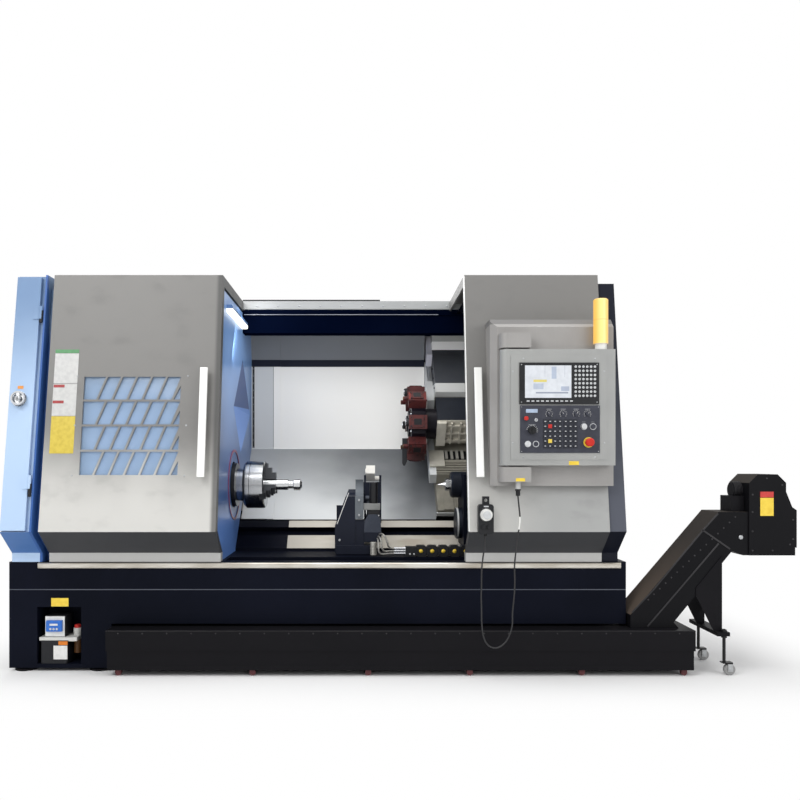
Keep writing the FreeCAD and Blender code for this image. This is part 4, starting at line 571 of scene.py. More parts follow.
def lamp_finish():
    """Signal lamp: white foot, and a warm lens in two parts that glows from its middle."""
    made = Finish("signal_lens", "lamp_plastic", roughness=0.3, emission_strength=0.5)
    start = made.start
    x, _, z = axes(start)
    core = 1 - ease(abs(x - 0.994), 0.004, 0.034)
    above_foot = ease(z, 1.689, 1.692)
    glow = tint(core, tone(250, 190, 84), tone(255, 226, 130))
    glow = tint(within(z, 1.808, 1.811), glow, tone(232, 146, 56))
    amber_lens = tint(core, tone(204, 160, 78), tone(214, 184, 120))
    ripple = start.node("ShaderNodeTexNoise", (), {"Vector": spot(start), "Scale": 60.0})
    made.wire(
        base_color=tint(above_foot, tone(226, 226, 222), amber_lens),
        emission_color=tint(above_foot, NO_LIGHT, glow),
        normal=relief(ripple, 0.08, 0.0005),
    )
    return made


def pump_finish():
    """Lubrication unit: oil tank, steel band and pump housing, and a brown bowl with a white bonnet."""
    made = Finish("lubrication_unit", "pump_grey", roughness=0.42, specular_ior_level=0.3)
    start = made.start
    x, _, z = axes(start)
    skin = cloud(start, 0.0016, detail=2.0)
    slow = cloud(start, 0.04, detail=2.0)
    pale = tone(206, 206, 202)
    tank = tint(slow, tone(28, 29, 33), tone(20, 21, 25))
    housing = tint(slow, tone(38, 38, 41), tone(28, 28, 31))
    unit = bands(z, tank, (0.1615, pale), (0.1775, housing))
    bowl = bands(z, tone(98, 66, 38), (0.157, pale))
    made.wire(
        base_color=tint(ease(x, -1.7455, -1.7445), unit, bowl),
        roughness=0.4 + slow * 0.1,
        normal=relief(skin, 0.1, 0.0003),
    )
    return made


def tank_finish():
    """Coolant tank: black paint, with dull red wheels under it."""
    made = Finish("tank_paint", "black_paint", roughness=0.48, specular_ior_level=0.08)
    start = made.start
    z = axes(start)[2]
    slow = cloud(start, 0.5, detail=3.0)
    wheels = 1 - ease(z, 0.0300, 0.0310)
    made.wire(
        base_color=tint(wheels, tint(slow, tone(18, 18, 21), tone(24, 23, 26)), tone(104, 66, 68)),
        roughness=0.46 + (slow - 0.5) * 0.16,
        normal=peel(start),
    )
    return made


def end_cover_finish():
    """Right end cover: navy up high, greyer and mottled lower down, and dark navy under the nose as painted
    shade.
    """
    made = Finish("end_cover_paint", "navy_paint", roughness=0.46, specular_ior_level=0.15)
    start = made.start
    _, y, z = axes(start)
    drift = cloud(start, 0.16, detail=5.0)
    # Painted shade: the strip under the nose stays dark navy.
    under = (1 - ease(z, 0.742, 0.748)) * in_front(y)
    greyer = (1 - ease(z + (drift - 0.5) * 0.5, 0.95, 1.85)) * (1 - under)
    made.wire(
        base_color=tint(greyer, tint(drift, tone(17, 20, 31), tone(24, 27, 39)), tone(84, 87, 97)),
        roughness=0.44 + (drift - 0.5) * 0.2,
        normal=peel(start),
    )
    return made


def rear_finish():
    """Rear cover: dull deep navy inside, smoother and paler navy outside."""
    made = Finish("rear_cover_paint", "navy_paint", roughness=0.5, specular_ior_level=0.12)
    start = made.start
    _, y, z = axes(start)
    drift = cloud(start, 0.5, detail=3.0)
    outside = start.sum("MAXIMUM", ease(y, 0.8765, 0.8775), ease(z, 2.0535, 2.0545))
    inside = tint(drift, tone(3, 6, 17), tone(5, 8, 21))
    made.wire(
        base_color=tint(outside, inside, tint(drift, tone(26, 31, 46), tone(34, 39, 56))),
        roughness=0.54 - outside * 0.12 + (drift - 0.5) * 0.1,
        normal=peel(start),
    )
    return made


def mount_finish():
    """Raised mount of the control box: satin steel with a darker top bevel and a two-part gland under it."""
    made = Finish("mount_satin_grey", "grey_paint", metallic=0.2, roughness=0.46, specular_ior_level=0.3)
    start = made.start
    x, y, z = axes(start)
    lines = cloud(start, 0.0012, (1, 1, 50), 2.0)
    slow = cloud(start, 0.3, detail=3.0)
    steel = tint(ease(slow, 0.3, 0.7) * 0.65 + lines * 0.35, tone(160, 158, 156), tone(144, 142, 140))
    steel = tint(ease(z, 1.799, 1.801), steel, tone(112, 111, 110))
    gland = (1 - ease(z, 0.9995, 1.0005)) * (1 - ease(y, -0.862, -0.860)) * within(x, 0.550, 0.612)
    parts = tint(ease(z, 0.9645, 0.9655), tone(28, 28, 30), tone(186, 186, 184))
    made.wire(
        base_color=tint(gland, steel, parts),
        roughness=0.46 + (lines - 0.5) * 0.2,
        normal=relief(lines, 0.05, 0.0003),
    )
    return made


def fork_finish():
    """Caster fork: black stem and plate, bright cheeks by the wheel."""
    made = Finish("caster_fork_skin", "bare_steel", roughness=0.4, specular_ior_level=0.3)
    start = made.start
    z = axes(start)[2]
    slow = cloud(start, 0.01, detail=2.0)
    high = ease(z, 0.0585, 0.0595)
    made.wire(
        base_color=tint(high, tint(slow, tone(196, 198, 199), tone(160, 162, 164)), tone(20, 20, 22)),
        metallic=0.5 - high * 0.5,
        normal=relief(slow, 0.05, 0.0002),
    )
    return made


def conveyor_finish():
    """Black paint of the chip conveyor, brown on its upward faces, and paler toward the lower end as a painted
    highlight.
    """
    made = Finish("conveyor_paint", "black_paint", roughness=0.5, specular_ior_level=0.1)
    start = made.start
    facing = start.node("ShaderNodeNewGeometry", output="Normal")
    facing_up = start.node("ShaderNodeSeparateXYZ", (), {"Vector": facing}, output="Z")
    z = axes(start)[2]
    slow = cloud(start, 0.2, detail=3.0)
    lying = ease(facing_up, 0.3, 0.6) * (0.75 + slow * 0.25)
    coat = tint(slow, tone(18, 18, 21), tone(12, 12, 15))
    # Brown for the upward faces, paler toward the lower end as a painted highlight.
    brown_and_highlight = tint(ease(z, 0.35, 0.75), tone(96, 85, 76), tone(56, 51, 47))
    made.wire(
        base_color=tint(lying, coat, brown_and_highlight),
        roughness=0.5 + lying * 0.15,
        normal=peel(start),
    )
    return made


def work_light_finish():
    """Work light: a lit tube along the bottom of a pale blue holder."""
    made = Finish("tube_light", "lamp_cover", roughness=0.3, emission_strength=1.6)
    start = made.start
    z = axes(start)[2]
    slow = cloud(start, 0.05, detail=1.0)
    lit = 1 - ease(z, 1.949, 1.951)
    glow = tint(slow, tone(255, 252, 240), tone(255, 247, 222))
    made.wire(
        base_color=tint(lit, tone(104, 138, 186), tone(200, 200, 196)),
        emission_color=tint(lit, NO_LIGHT, glow),
    )
    return made


def pane_finish():
    """Pale blue see-through pane with a faint haze."""
    made = Finish("door_pane", "pane", base_color=tone(176, 204, 236), roughness=0.06, alpha=0.3)
    haze = cloud(made.start, 0.18, (1, 1, 2.5), 3.0)
    made.wire(roughness=0.05 + haze * 0.1)
    made.material.surface_render_method = "DITHERED"
    return made


UPWARDS = (1, 1, 50)

navy = paint("navy_paint", "navy_paint", tone(11, 14, 24), tone(16, 19, 31), shine=0.05)
navy_dull = paint("navy_paint_inside", "navy_paint", tone(2, 6, 22), tone(4, 9, 27), rough=0.6, shine=0.0)
rear_navy = rear_finish()
black = paint("black_paint", "black_paint", tone(18, 18, 21), tone(24, 23, 26))
tank_skin = tank_finish()
edge_grey = end_cover_finish()
chute_black = conveyor_finish()
sky = sky_paint()
room_blue = wall_paint()
door = door_steel()
bed_skin = bed_finish()
guards = guard_steel("moving_guard_sheet", tone(241, 240, 236), tone(230, 229, 224))
end_guard = guard_steel("fixed_guard_sheet", tone(206, 208, 208), tone(190, 192, 193))
slide = slide_finish()
turret_skin = turret_finish()
steady_skin = steady_finish()
chuck = chuck_finish()
holders = holder_finish()
rail = rail_finish()
top_rail_skin = top_rail_finish()
lens = lamp_finish()
grey_box = drawn("box_satin_grey", "grey_box", tone(160, 161, 159), tone(146, 147, 146), 0.45, UPWARDS, 0.2)
mount_grey = mount_finish()
bright_bar = drawn("handle_bright_steel", "bare_steel", tone(246, 246, 243), tone(234, 234, 232), 0.34,
                   UPWARDS, 0.15)
polished = lathe_cut("turned_steel", "bright_steel", tone(222, 223, 224), tone(186, 188, 190))
jaw_steel = drawn("jaw_steel", "bright_steel", tone(74, 76, 80), tone(52, 54, 58), 0.34, metal=0.5)
dark_cast = cast("dark_casting", "dark_casting", tone(22, 27, 38), tone(14, 18, 28), 0.46, 0.0)
light_cast = cast("light_casting", "casting", tone(236, 234, 228), tone(214, 211, 203))
grey_cast = cast("grey_casting", "casting", tone(74, 79, 87), tone(56, 60, 68), metal=0.15, depth=0.25)
cream_cast = cast("cream_casting", "casting", tone(142, 138, 127), tone(118, 115, 105), 0.55, depth=0.25)
disc_skin = cast("turret_black", "dark_casting", tone(25, 21, 29), tone(17, 15, 23), 0.4, 0.2, 0.002, 0.1)
black_plastic = moulded("black_plastic", "black_plastic", tone(27, 28, 31))
dark_plate = moulded("control_plate", "key_panel", tone(58, 60, 70), shade=tone(50, 52, 62))
screen_frame = moulded("display_frame", "screen_unit", tone(28, 29, 32), 0.42)
red_plastic = moulded("red_plastic", "red_plastic", tone(206, 44, 34), 0.32)
white_plastic = moulded("white_plastic", "lamp_plastic", tone(236, 236, 233), 0.4)
grey_plastic = moulded("caster_wheel_grey", "black_rubber", tone(150, 150, 150), 0.55)
rubber = moulded("black_rubber", "black_rubber", tone(26, 26, 27), 0.72, grain=0.0014)
pump = pump_finish()
fork_steel = fork_finish()
glass = pane_finish()
tube_light = work_light_finish()

WORN = {
    navy: ("base", "front_cover_right"),
    navy_dull: ("top_beam",),
    rear_navy: ("rear_cover",),
    edge_grey: ("end_cover_right",),
    tank_skin: ("coolant_tank",),
    black: ("conveyor_leg", "conveyor_motor", "levelling_feet"),
    chute_black: ("conveyor_body", "conveyor_head"),
    fork_steel: ("caster_fork_1", "caster_fork_2"),
    sky: ("cabinet_shell", "cabinet_door", "front_cover_left"),
    room_blue: ("headstock_wall",),
    door: ("left_door", "right_door"),
    mount_grey: ("panel_mount",),
    grey_box: ("control_box",),
    bed_skin: ("bed",),
    guards: ("carriage_guard",),
    end_guard: ("chip_guard",),
    slide: ("cross_slide",),
    cream_cast: ("carriage",),
    chuck: ("chuck_body",),
    polished: ("chuck_arbor", "quill", "spindle", "cabinet_lock"),
    jaw_steel: ("jaw_1", "jaw_2", "jaw_3"),
    dark_cast: ("headstock", "tailstock"),
    steady_skin: ("steady_base",),
    turret_skin: ("turret_head",),
    light_cast: ("steady_arm_upper",),
    grey_cast: ("steady_arm_lower",),
    disc_skin: ("tool_disc",),
    holders: ("tool_holders",),
    rail: ("sill_rail",),
    top_rail_skin: ("top_rail",),
    bright_bar: ("left_handle", "right_handle"),
    glass: ("left_window",),
    tube_light: ("work_light",),
    lens: ("signal_lamp",),
    screen_frame: ("display_unit",),
    dark_plate: ("operator_panel",),
    black_plastic: ("drag_chain", "pendant_body", "mode_knob"),
    white_plastic: ("handwheel",),
    red_plastic: ("estop_button",),
    grey_plastic: ("caster_wheel_1", "caster_wheel_2"),
    pump: ("lube_unit",),
}
for made, names in WORN.items():
    for name in names:
        for seat in nodes[name].material_slots:
            seat.material = made.material

# ---------------------------------------------------------------- building pieces


def placed(name, form):
    """An object of a mesh, curve, lamp or camera, in the scene."""
    thing = bpy.data.objects.new(name, form)
    bpy.context.scene.collection.objects.link(thing)
    return thing


class Mould:
    """A mesh under construction, in the frame that it is given."""

    def __init__(self, seat=None):
        self.mesh = bmesh.new()
        self.seat = seat or Matrix()

    def add(self, points, faces):
        corners = [self.mesh.verts.new(self.seat @ Vector(p)) for p in points]
        for face in faces:
            self.mesh.faces.new([corners[i] for i in face])
        return self

    def slab(self, x, y, z):
        """A block between pairs of planes."""
        points = [(a, b, c) for a in x for b in y for c in z]
        faces = [(0, 1, 3, 2), (4, 6, 7, 5), (0, 4, 5, 1), (2, 3, 7, 6), (0, 2, 6, 4), (1, 5, 7, 3)]
        return self.add(points, faces)

    def sheet(self, outline, low, high, axis="y"):
        """An outline of two coordinates, made thick along the third axis."""
        count = len(outline)
        points = []
        for level in (low, high):
            for a, b in outline:
                points.append({"x": (level, a, b), "y": (a, level, b), "z": (a, b, level)}[axis])
        faces = [tuple(range(count)), tuple(range(2 * count - 1, count - 1, -1))]
        for i in range(count):
            j = (i + 1) % count
            faces.append((i, i + count, j + count, j))
        return self.add(points, faces)

    def turn(self, profile, centre, axis, sides):
        """A closed profile of (place along the axis, radius) points, turned about that axis."""
        points = []
        rows = []
        for along, radius in profile:
            row = []
            for i in range(1 if radius == 0 else sides):
                angle = 2 * math.pi * i / sides
                a, b = radius * math.cos(angle), radius * math.sin(angle)
                row.append(len(points))
                points.append({
                    "x": (centre[0] + along, centre[1] + a, centre[2] + b),
                    "y": (centre[0] + a, centre[1] + along, centre[2] + b),
                    "z": (centre[0] + a, centre[1] + b, centre[2] + along),
                }[axis])
            rows.append(row)
        faces = []
        for one, two in zip(rows, rows[1:]):
            for i in range(sides):
                ring = [one[i % len(one)], one[(i + 1) % len(one)], two[(i + 1) % len(two)], two[i % len(two)]]
                faces.append(tuple(dict.fromkeys(ring)))
        return self.add(points, faces)

    def cooled(self, name):
        """The mesh itself, with its doubles merged and its faces outwards."""
        bmesh.ops.remove_doubles(self.mesh, verts=self.mesh.verts, dist=1e-6)
        bmesh.ops.recalc_face_normals(self.mesh, faces=self.mesh.faces)
        mesh = bpy.data.meshes.new(name)
        self.mesh.to_mesh(mesh)
        self.mesh.free()
        return mesh

    def done(self, name, made, body, edge=0.0, smooth=False):
        """The finished piece, in one finish, riding on a body."""
        mesh = self.cooled(name)
        piece = placed(name, mesh)
        mesh.materials.append(made.material)
        if smooth:
            mesh.shade_smooth()
            mesh.set_sharp_from_angle(angle=math.radians(35))
        if edge:
            softened = piece.modifiers.new("edges", "BEVEL")
            softened.width = edge
            softened.segments = 2
            softened.limit_method = "ANGLE"
            softened.angle_limit = math.radians(40)
        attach(piece, body)


def drum(start, end, radius):
    """The profile of a plain round bar from one place along its axis to another."""
    return [(start, 0), (start, radius), (end, radius), (end, 0)]


def hoop(start, end, inner, outer):
    """The profile of a plain ring from one place along its axis to another."""
    return [(start, inner), (start, outer), (end, outer), (end, inner), (start, inner)]


# ---------------------------------------------------------------- copies along lines


def copier():
    """Node tree: a small shape set on every point of a mesh, facing the way the point says."""
    tree = bpy.data.node_groups.new("copies_on_points", "GeometryNodeTree")
    for name, kind in (
        ("Points", "NodeSocketGeometry"),
        ("Shape", "NodeSocketObject"),
        ("Size", "NodeSocketFloat"),
        ("Finish", "NodeSocketMaterial"),
    ):
        tree.interface.new_socket(name, in_out="INPUT", socket_type=kind)
    tree.interface.new_socket("Copies", in_out="OUTPUT", socket_type="NodeSocketGeometry")
    start = Plug(tree)
    points, shape, size, finish = start.node("NodeGroupInput").every()[:4]
    facing = start.node("GeometryNodeInputNamedAttribute", {"data_type": "FLOAT_VECTOR"}, {"Name": "facing"})
    dots = start.node("GeometryNodeMeshToPoints", (), {"Mesh": points})
    turned = start.node("FunctionNodeAlignRotationToVector", {"axis": "Z"}, {"Vector": facing})
    item = start.node("GeometryNodeObjectInfo", (), {"Object": shape}, output="Geometry")
    set_out = start.node(
        "GeometryNodeInstanceOnPoints",
        (),
        {"Points": dots, "Instance": item, "Rotation": turned, "Scale": size},
    )
    real = start.node("GeometryNodeRealizeInstances", (), {"Geometry": set_out})
    worn = start.node("GeometryNodeSetMaterial", (), {"Geometry": real, "Material": finish})
    start.node("NodeGroupOutput", (), {0: worn})
    return tree


COPIER = copier()


def copies(name, shape, places, made, body, size=1.0):
    """Copies of a small shape at (point, facing) places, as one piece on a body."""
    mesh = bpy.data.meshes.new(name)
    mesh.from_pydata([tuple(p) for p, _ in places], [], [])
    facing = mesh.attributes.new("facing", "FLOAT_VECTOR", "POINT")
    facing.data.foreach_set("vector", [c for _, f in places for c in Vector(f)])
    holder = placed(name + "_points", mesh)
    grown = holder.modifiers.new("copies", "NODES")
    grown.node_group = COPIER
    values = {"Shape": shape, "Size": size, "Finish": made.material}
    for item in COPIER.interface.items_tree:
        if item.in_out == "INPUT" and item.name in values:
            grown[item.identifier] = values[item.name]
    graph = bpy.context.evaluated_depsgraph_get()
    real = bpy.data.meshes.new_from_object(holder.evaluated_get(graph))
    bpy.data.objects.remove(holder)
    piece = placed(name, real)
    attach(piece, body)


def turned_shape(profile, sides):
    """A small round shape for the copier, of radius 1 and standing on zero, kept out of the scene."""
    mesh = Mould().turn(profile, (0, 0, 0), "z", sides).cooled("shape")
    return bpy.data.objects.new("shape", mesh)


def all_facing(facing, points):
    """Places for the copier that all face one way."""
    return [(Vector(point), facing) for point in points]


def on_face(face, pairs, facing=FORWARD):
    """Places on an upright face, by their X and Z."""
    return all_facing(facing, [(x, face, z) for x, z in pairs])


def grid(xs, face, zs, facing=FORWARD):
    """Places in rows on an upright face."""
    return on_face(face, [(x, z) for z in zs for x in xs], facing)


def steps(first, count, step):
    """Even places from a first one on."""
    return [first + step * i for i in range(count)]


def even(first, last, count):
    """Points from one to another, evenly spaced."""
    return [Vector(first).lerp(Vector(last), i / (count - 1)) for i in range(count)]


def front_up(z):
    """How far up the leaning face a height is."""
    return (z - NOSE.z) / math.cos(LEAN)


socket_screw = turned_shape([(0.45, 0), (0.45, 0.5), (1, 0.5), (1, 0.85), (0.85, 1), (-0.1, 1), (-0.1, 0)], 12)
dome_screw = turned_shape([(0.55, 0), (0.45, 0.5), (0.2, 0.85), (0, 1), (-0.1, 1), (-0.1, 0)], 12)
hex_bolt = turned_shape([(0.7, 0), (0.7, 0.85), (0.55, 1), (0, 1), (-0.1, 1), (-0.1, 0)], 6)
round_key = turned_shape([(-0.2, 0), (-0.2, 1), (0.35, 1), (0.5, 0.82), (0.5, 0)], 14)


def flat_key(wide, high, tall, edge):
    """A key with a softened top, for the copier: wide, high and tall."""
    corners = []
    for reach, level in ((0, -0.001), (0, tall - edge), (edge, tall)):
        a, b = wide / 2 - reach, high / 2 - reach
        corners.append([(-a, -b, level), (a, -b, level), (a, b, level), (-a, b, level)])
    points = [p for rim in corners for p in rim]
    faces = [(3, 2, 1, 0), (8, 9, 10, 11)]
    for low in (0, 4):
        for i in range(4):
            j = (i + 1) % 4
            faces.append((low + i, low + j, low + 4 + j, low + 4 + i))
    return bpy.data.objects.new("shape", Mould().add(points, faces).cooled("shape"))


PANEL_KEY_TALL = 0.0018
soft_key = flat_key(0.014, 0.006, 0.0016, 0.0006)
panel_key = flat_key(0.0185, 0.0190, PANEL_KEY_TALL, 0.0007)
key_mark = flat_key(0.0048, 0.0012, 0.0004, 0.0001)
panel_mark = flat_key(0.0080, 0.0036, 0.0004, 0.0001)

# ---------------------------------------------------------------- tubes along a path


def tube(name, paths, radius, facets):
    """A curve of round tubes, each along its own knots."""
    line = bpy.data.curves.new(name, "CURVE")
    line.dimensions = "3D"
    line.bevel_depth = radius
    line.bevel_resolution = facets
    line.use_fill_caps = True
    for knots in paths:
        way = line.splines.new("NURBS")
        way.points.add(len(knots) - 1)
        for knot, place in zip(way.points, knots):
            knot.co = (*place, 1)
        way.order_u = 3
        way.use_endpoint_u = True
        way.resolution_u = 8
    return placed(name, line)


# ---------------------------------------------------------------- pendant cable

CABLE_EXIT = Vector((0.580, -0.890, 0.931))
# Knots of the cable in millimetres from its exit.
CABLE_ROUTE = [
    (0, 0, 0), (5, 0, -52), (12, 2, -112), (6, 6, -172), (-4, 10, -232), (-9, 12, -292), (-16, 12, -352),
    (-13, 12, -412), (-14, 12, -472), (-19, 12, -532), (-26, 12, -592), (-24, 12, -646), (-38, 12, -698),
    (-60, 12, -738), (-94, 12, -764), (-130, 12, -764), (-160, 12, -740), (-175, 12, -692), (-180, 14, -632),
    (-179, 18, -574), (-181, 22, -514), (-178, 26, -454), (-178, 28, -394), (-174, 30, -334),
    (-159, 32, -244), (-157, 32, -194),
]


def cable_finish():
    """Cable sheath: black rubber, with the white heat-shrink band below the gland."""
    made = Finish("cable_sheath", "black_rubber", roughness=0.5)
    start = made.start
    x, _, z = axes(start)
    band = within(z, 0.762, 0.826, 0.0006) * (x > 0.5)
    skin = cloud(start, 0.004, detail=2.0)
    made.wire(
        base_color=tint(band, tint(skin, tone(26, 26, 28), tone(36, 36, 38)), tone(232, 232, 228)),
        roughness=0.46 + skin * 0.12,
        normal=relief(skin, 0.1, 0.0003),
    )
    return made


lead = tube("pendant_lead", [[CABLE_EXIT + Vector(step) / 1000 for step in CABLE_ROUTE]], 0.004, 4)
lead.data.materials.append(cable_finish().material)
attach(lead, "door_right")
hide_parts("pendant_cable")

# ---------------------------------------------------------------- finishes of the small pieces


def screen_finish():
    """Lit page of the control's display, with plain fields."""
    made = Finish("lit_page", "screen_unit", roughness=0.2, emission_strength=0.5)
    start = made.start
    x, _, z = axes(start)
    page = tone(236, 240, 246)
    grey = tone(150, 158, 176)
    fields = (
        (0.648, 0.698, 1.4600, 1.4885, tone(198, 208, 226)),
        (0.648, 0.714, 1.4957, 1.5075, tone(246, 226, 96)),
        (0.738, 0.762, 1.5120, 1.5715, tone(190, 202, 222)),
        (0.660, 0.820, 1.4390, 1.4460, grey),
        (0.785, 0.825, 1.4510, 1.4740, tone(184, 194, 214)),
        (0.7045, 0.7055, 1.5200, 1.5800, grey),
        (0.8025, 0.8035, 1.5200, 1.5800, grey),
    )
    for left, right, low, high, colour in fields:
        page = tint(within(x, left, right, 0.0003) * within(z, low, high, 0.0003), page, colour)
    rows = start.node("ShaderNodeTexNoise", (), {"Vector": spot(start), "Scale": 40.0, "Detail": 1.0})
    dimmer = tint(rows * 0.2, page, tone(206, 214, 228))
    made.wire(base_color=tint(rows * 0.2 + 0.55, dimmer, tone(20, 22, 26)), emission_color=dimmer)
    return made


def braid_finish():
    """Steel braid of the steady rest's lines: crossed strands."""
    made = Finish("steel_braid", "bright_steel", metallic=0.6, roughness=0.4)
    start = made.start
    one = cloud(start, 0.0012, (1, 3, 1), 1.0, (0.6, 0, 0.7))
    two = cloud(start, 0.0012, (3, 1, 1), 1.0, (0, 0.6, -0.7))
    weave = start.sum("MAXIMUM", one, two)
    made.wire(
        base_color=tint(ease(weave, 0.4, 0.65), tone(74, 74, 74), tone(176, 174, 168)),
        normal=relief(weave, 0.4, 0.0008),
    )
    return made


EVEN = (1, 1, 1)

lit_page = screen_finish()
braid = braid_finish()
screw_steel = drawn("screw_steel", "bright_steel", tone(184, 186, 188), tone(148, 150, 153), 0.34, EVEN, 0.6)
screw_black = moulded("blackened_screw", "black_plastic", tone(34, 35, 38), 0.4)
chrome = drawn("chrome_trim", "bright_steel", tone(214, 216, 219), tone(184, 186, 190), 0.2, EVEN, 0.9)
yellow_foil = label("yellow_foil", tone(236, 206, 70), tone(226, 192, 54))
white_foil = label("white_foil", tone(226, 226, 224), tone(214, 214, 212))
door_white = label("door_white_foil", tone(196, 196, 194), tone(184, 184, 183))
door_green = label("door_green_foil", tone(72, 138, 84), tone(60, 124, 74))
door_yellow = label("door_yellow_foil", tone(206, 184, 66), tone(192, 168, 52))
door_red = label("door_red_foil", tone(160, 46, 46), tone(144, 40, 42))
red_foil = label("red_foil", tone(200, 56, 50), tone(184, 46, 42))
orange_foil = label("orange_foil", tone(228, 150, 60), tone(214, 134, 48))
blue_foil = label("blue_foil", tone(32, 108, 200), tone(24, 94, 184))
pale_foil = label("pale_blue_foil", tone(168, 184, 206), tone(156, 172, 196))
grey_foil = label("grey_foil", tone(150, 152, 156), tone(138, 140, 144))
key_white = moulded("white_keys", "lamp_plastic", tone(206, 208, 210), 0.42)
key_grey = moulded("grey_keys", "key_panel", tone(122, 126, 134), 0.46)
key_dark = moulded("dark_keys", "key_panel", tone(40, 42, 50), 0.46)
key_red = moulded("red_keys", "red_plastic", tone(196, 48, 42), 0.4)
key_yellow = moulded("yellow_keys", "lamp_plastic", tone(228, 200, 84), 0.42)
bright_yellow = moulded("yellow_domes", "lamp_plastic", tone(250, 214, 72), 0.4)
knob_black = moulded("knob_black", "black_plastic", tone(24, 24, 27), 0.36)
edge_light = drawn("light_edge", "bare_steel", tone(206, 207, 206), tone(184, 186, 186), 0.4, metal=0.1)
# Pale grey for the painted highlight along the top beam's lip.
lip_highlight = drawn("painted_beam_highlight", "bare_steel", tone(150, 153, 160), tone(96, 100, 112), 0.4, metal=0.1)
groove_blue = paint("groove_edge", "navy_paint", tone(98, 102, 112), tone(76, 80, 90), shine=0.1)
column_cast = cast("column_casting", "casting", tone(214, 210, 198), tone(186, 182, 170), metal=0.05)
cylinder_cast = cast("cylinder_casting", "dark_casting", tone(62, 67, 78), tone(48, 53, 64), 0.46, 0.0)
collar_cast = cast("collar_casting", "casting", tone(128, 129, 128), tone(106, 107, 106))
flank_pale = paint("flank_cover", "light_plate", tone(216, 216, 224), tone(192, 192, 202), shine=0.2)
lock_face = drawn("lock_face", "bright_steel", tone(196, 198, 200), tone(160, 162, 166), 0.36, EVEN, 0.35)
cut_steel = drawn("machined_face", "bright_steel", tone(186, 184, 176), tone(158, 156, 149), 0.4,
                  (1, 40, 1), 0.25)
seam_black = paint("seam_black", "black_paint", tone(50, 49, 51), tone(36, 35, 38), shine=0.3)
gold_tip = drawn("gold_coated_tip", "bright_steel", tone(214, 172, 82), tone(188, 146, 62), 0.3, EVEN, 0.6)
# Brighter red for the painted light on the upward faces of the top holders.
lit_holder_red = cast("holder_lit_red_face", "casting", tone(128, 52, 44), tone(98, 40, 38), metal=0.0, pitch=0.002)
amber = moulded("amber_cap", "red_plastic", tone(224, 128, 44), 0.4)

# ---------------------------------------------------------------- simple forms on upright faces


SUNK = 0.0004


def cap(mould, x, z, face, radius, tall, edge=0.0008, sides=24):
    """A round cap that stands forward from an upright face."""
    profile = [(0.001, 0), (0.001, radius), (edge - tall, radius), (-tall, radius - edge), (-tall, 0)]
    return mould.turn(profile, (x, face, z), "y", sides)


def ring(mould, x, z, face, inner, outer, tall, sides=40):
    """A flat ring that stands forward from an upright face."""
    return mould.turn(hoop(SUNK, -tall, inner, outer), (x, face, z), "y", sides)


def fan(mould, x, z, face, radius, long, wide, angles, proud=0.0006):
    """Marks round a knob, by their angles from the top."""
    for angle in angles:
        across, up = math.sin(math.radians(angle)), math.cos(math.radians(angle))
        corners = []
        for out, side in ((radius, -wide), (radius, wide), (radius + long, wide), (radius + long, -wide)):
            corners.append((x + out * across + side * up / 2, z + out * up - side * across / 2))
        mould.sheet(corners, face - proud, face + SUNK)
    return mould


def plate(name, made, body, x, y, z, edge=0.0, seat=None):
    """One block as a piece."""
    Mould(seat).slab(x, y, z).done(name, made, body, edge)


def about(middle, half):
    """The two planes at half a width from a middle."""
    return middle - half, middle + half

# ---------------------------------------------------------------- control box

BOX_LEFT, BOX_LOW = 0.579, 1.145
PANEL_FACE = -0.932
SCREEN_FACE = -0.934
KEY_BED = -0.9348
KNOB_TOP = -0.944
CAPTION = (PANEL_FACE - 0.0006, PANEL_FACE)


def on_panel(across, up):
    """X and Z of a place on the operator panel, from millimetres right of and above its corner."""
    return BOX_LEFT + across / 1000, BOX_LOW + up / 1000


copies("box_screws", dome_screw, on_face(-0.928, (
    (0.600, 1.612), (0.954, 1.612), (0.600, 1.124), (0.954, 1.124),
    (0.547, 1.549), (1.000, 1.549), (0.547, 1.194), (1.000, 1.194),
)), screw_steel, "panel_box", 0.0045)
display_screws = grid((0.589, 0.963), SCREEN_FACE, (1.396, 1.582))
copies("display_screws", dome_screw, display_screws, screw_steel, "panel_box", 0.003)
panel_screws = grid((0.590, 0.970), PANEL_FACE, (1.152, 1.372))
copies("panel_screws", dome_screw, panel_screws, screw_steel, "panel_box", 0.0026)
plate("display_page", lit_page, "panel_box", (0.606, 0.836), (-0.9332, -0.9318), (1.417, 1.578))
rim = Mould()
for z in ((1.578, 1.5805), (1.4145, 1.417)):
    rim.slab((0.601, 0.841), (-0.9345, -0.9335), z)
for x in ((0.601, 0.606), (0.836, 0.841)):
    rim.slab(x, (-0.9344, -0.9335), (1.4160, 1.5790))
rim.done("display_rim", screen_frame, "panel_box")
soft_keys = grid(steps(0.6215, 10, 0.0238), SCREEN_FACE, (1.4015,))
copies("display_soft_keys", soft_key, soft_keys, key_white, "panel_box")
KEY_COLUMNS, KEY_ROWS, KEY_SIZE = steps(0.8566, 6, 0.019), steps(1.4272, 8, 0.0206), 0.0062
copies("keypad_keys", round_key, grid(KEY_COLUMNS, SCREEN_FACE, KEY_ROWS), key_white, "panel_box", KEY_SIZE)
copies("keypad_marks", key_mark, grid(KEY_COLUMNS, SCREEN_FACE - KEY_SIZE / 2, KEY_ROWS), key_grey, "panel_box")
plate("card_cover", knob_black, "panel_box", (0.583, 0.603), (-0.9352, -0.9335), (1.450, 1.510), 0.0006)

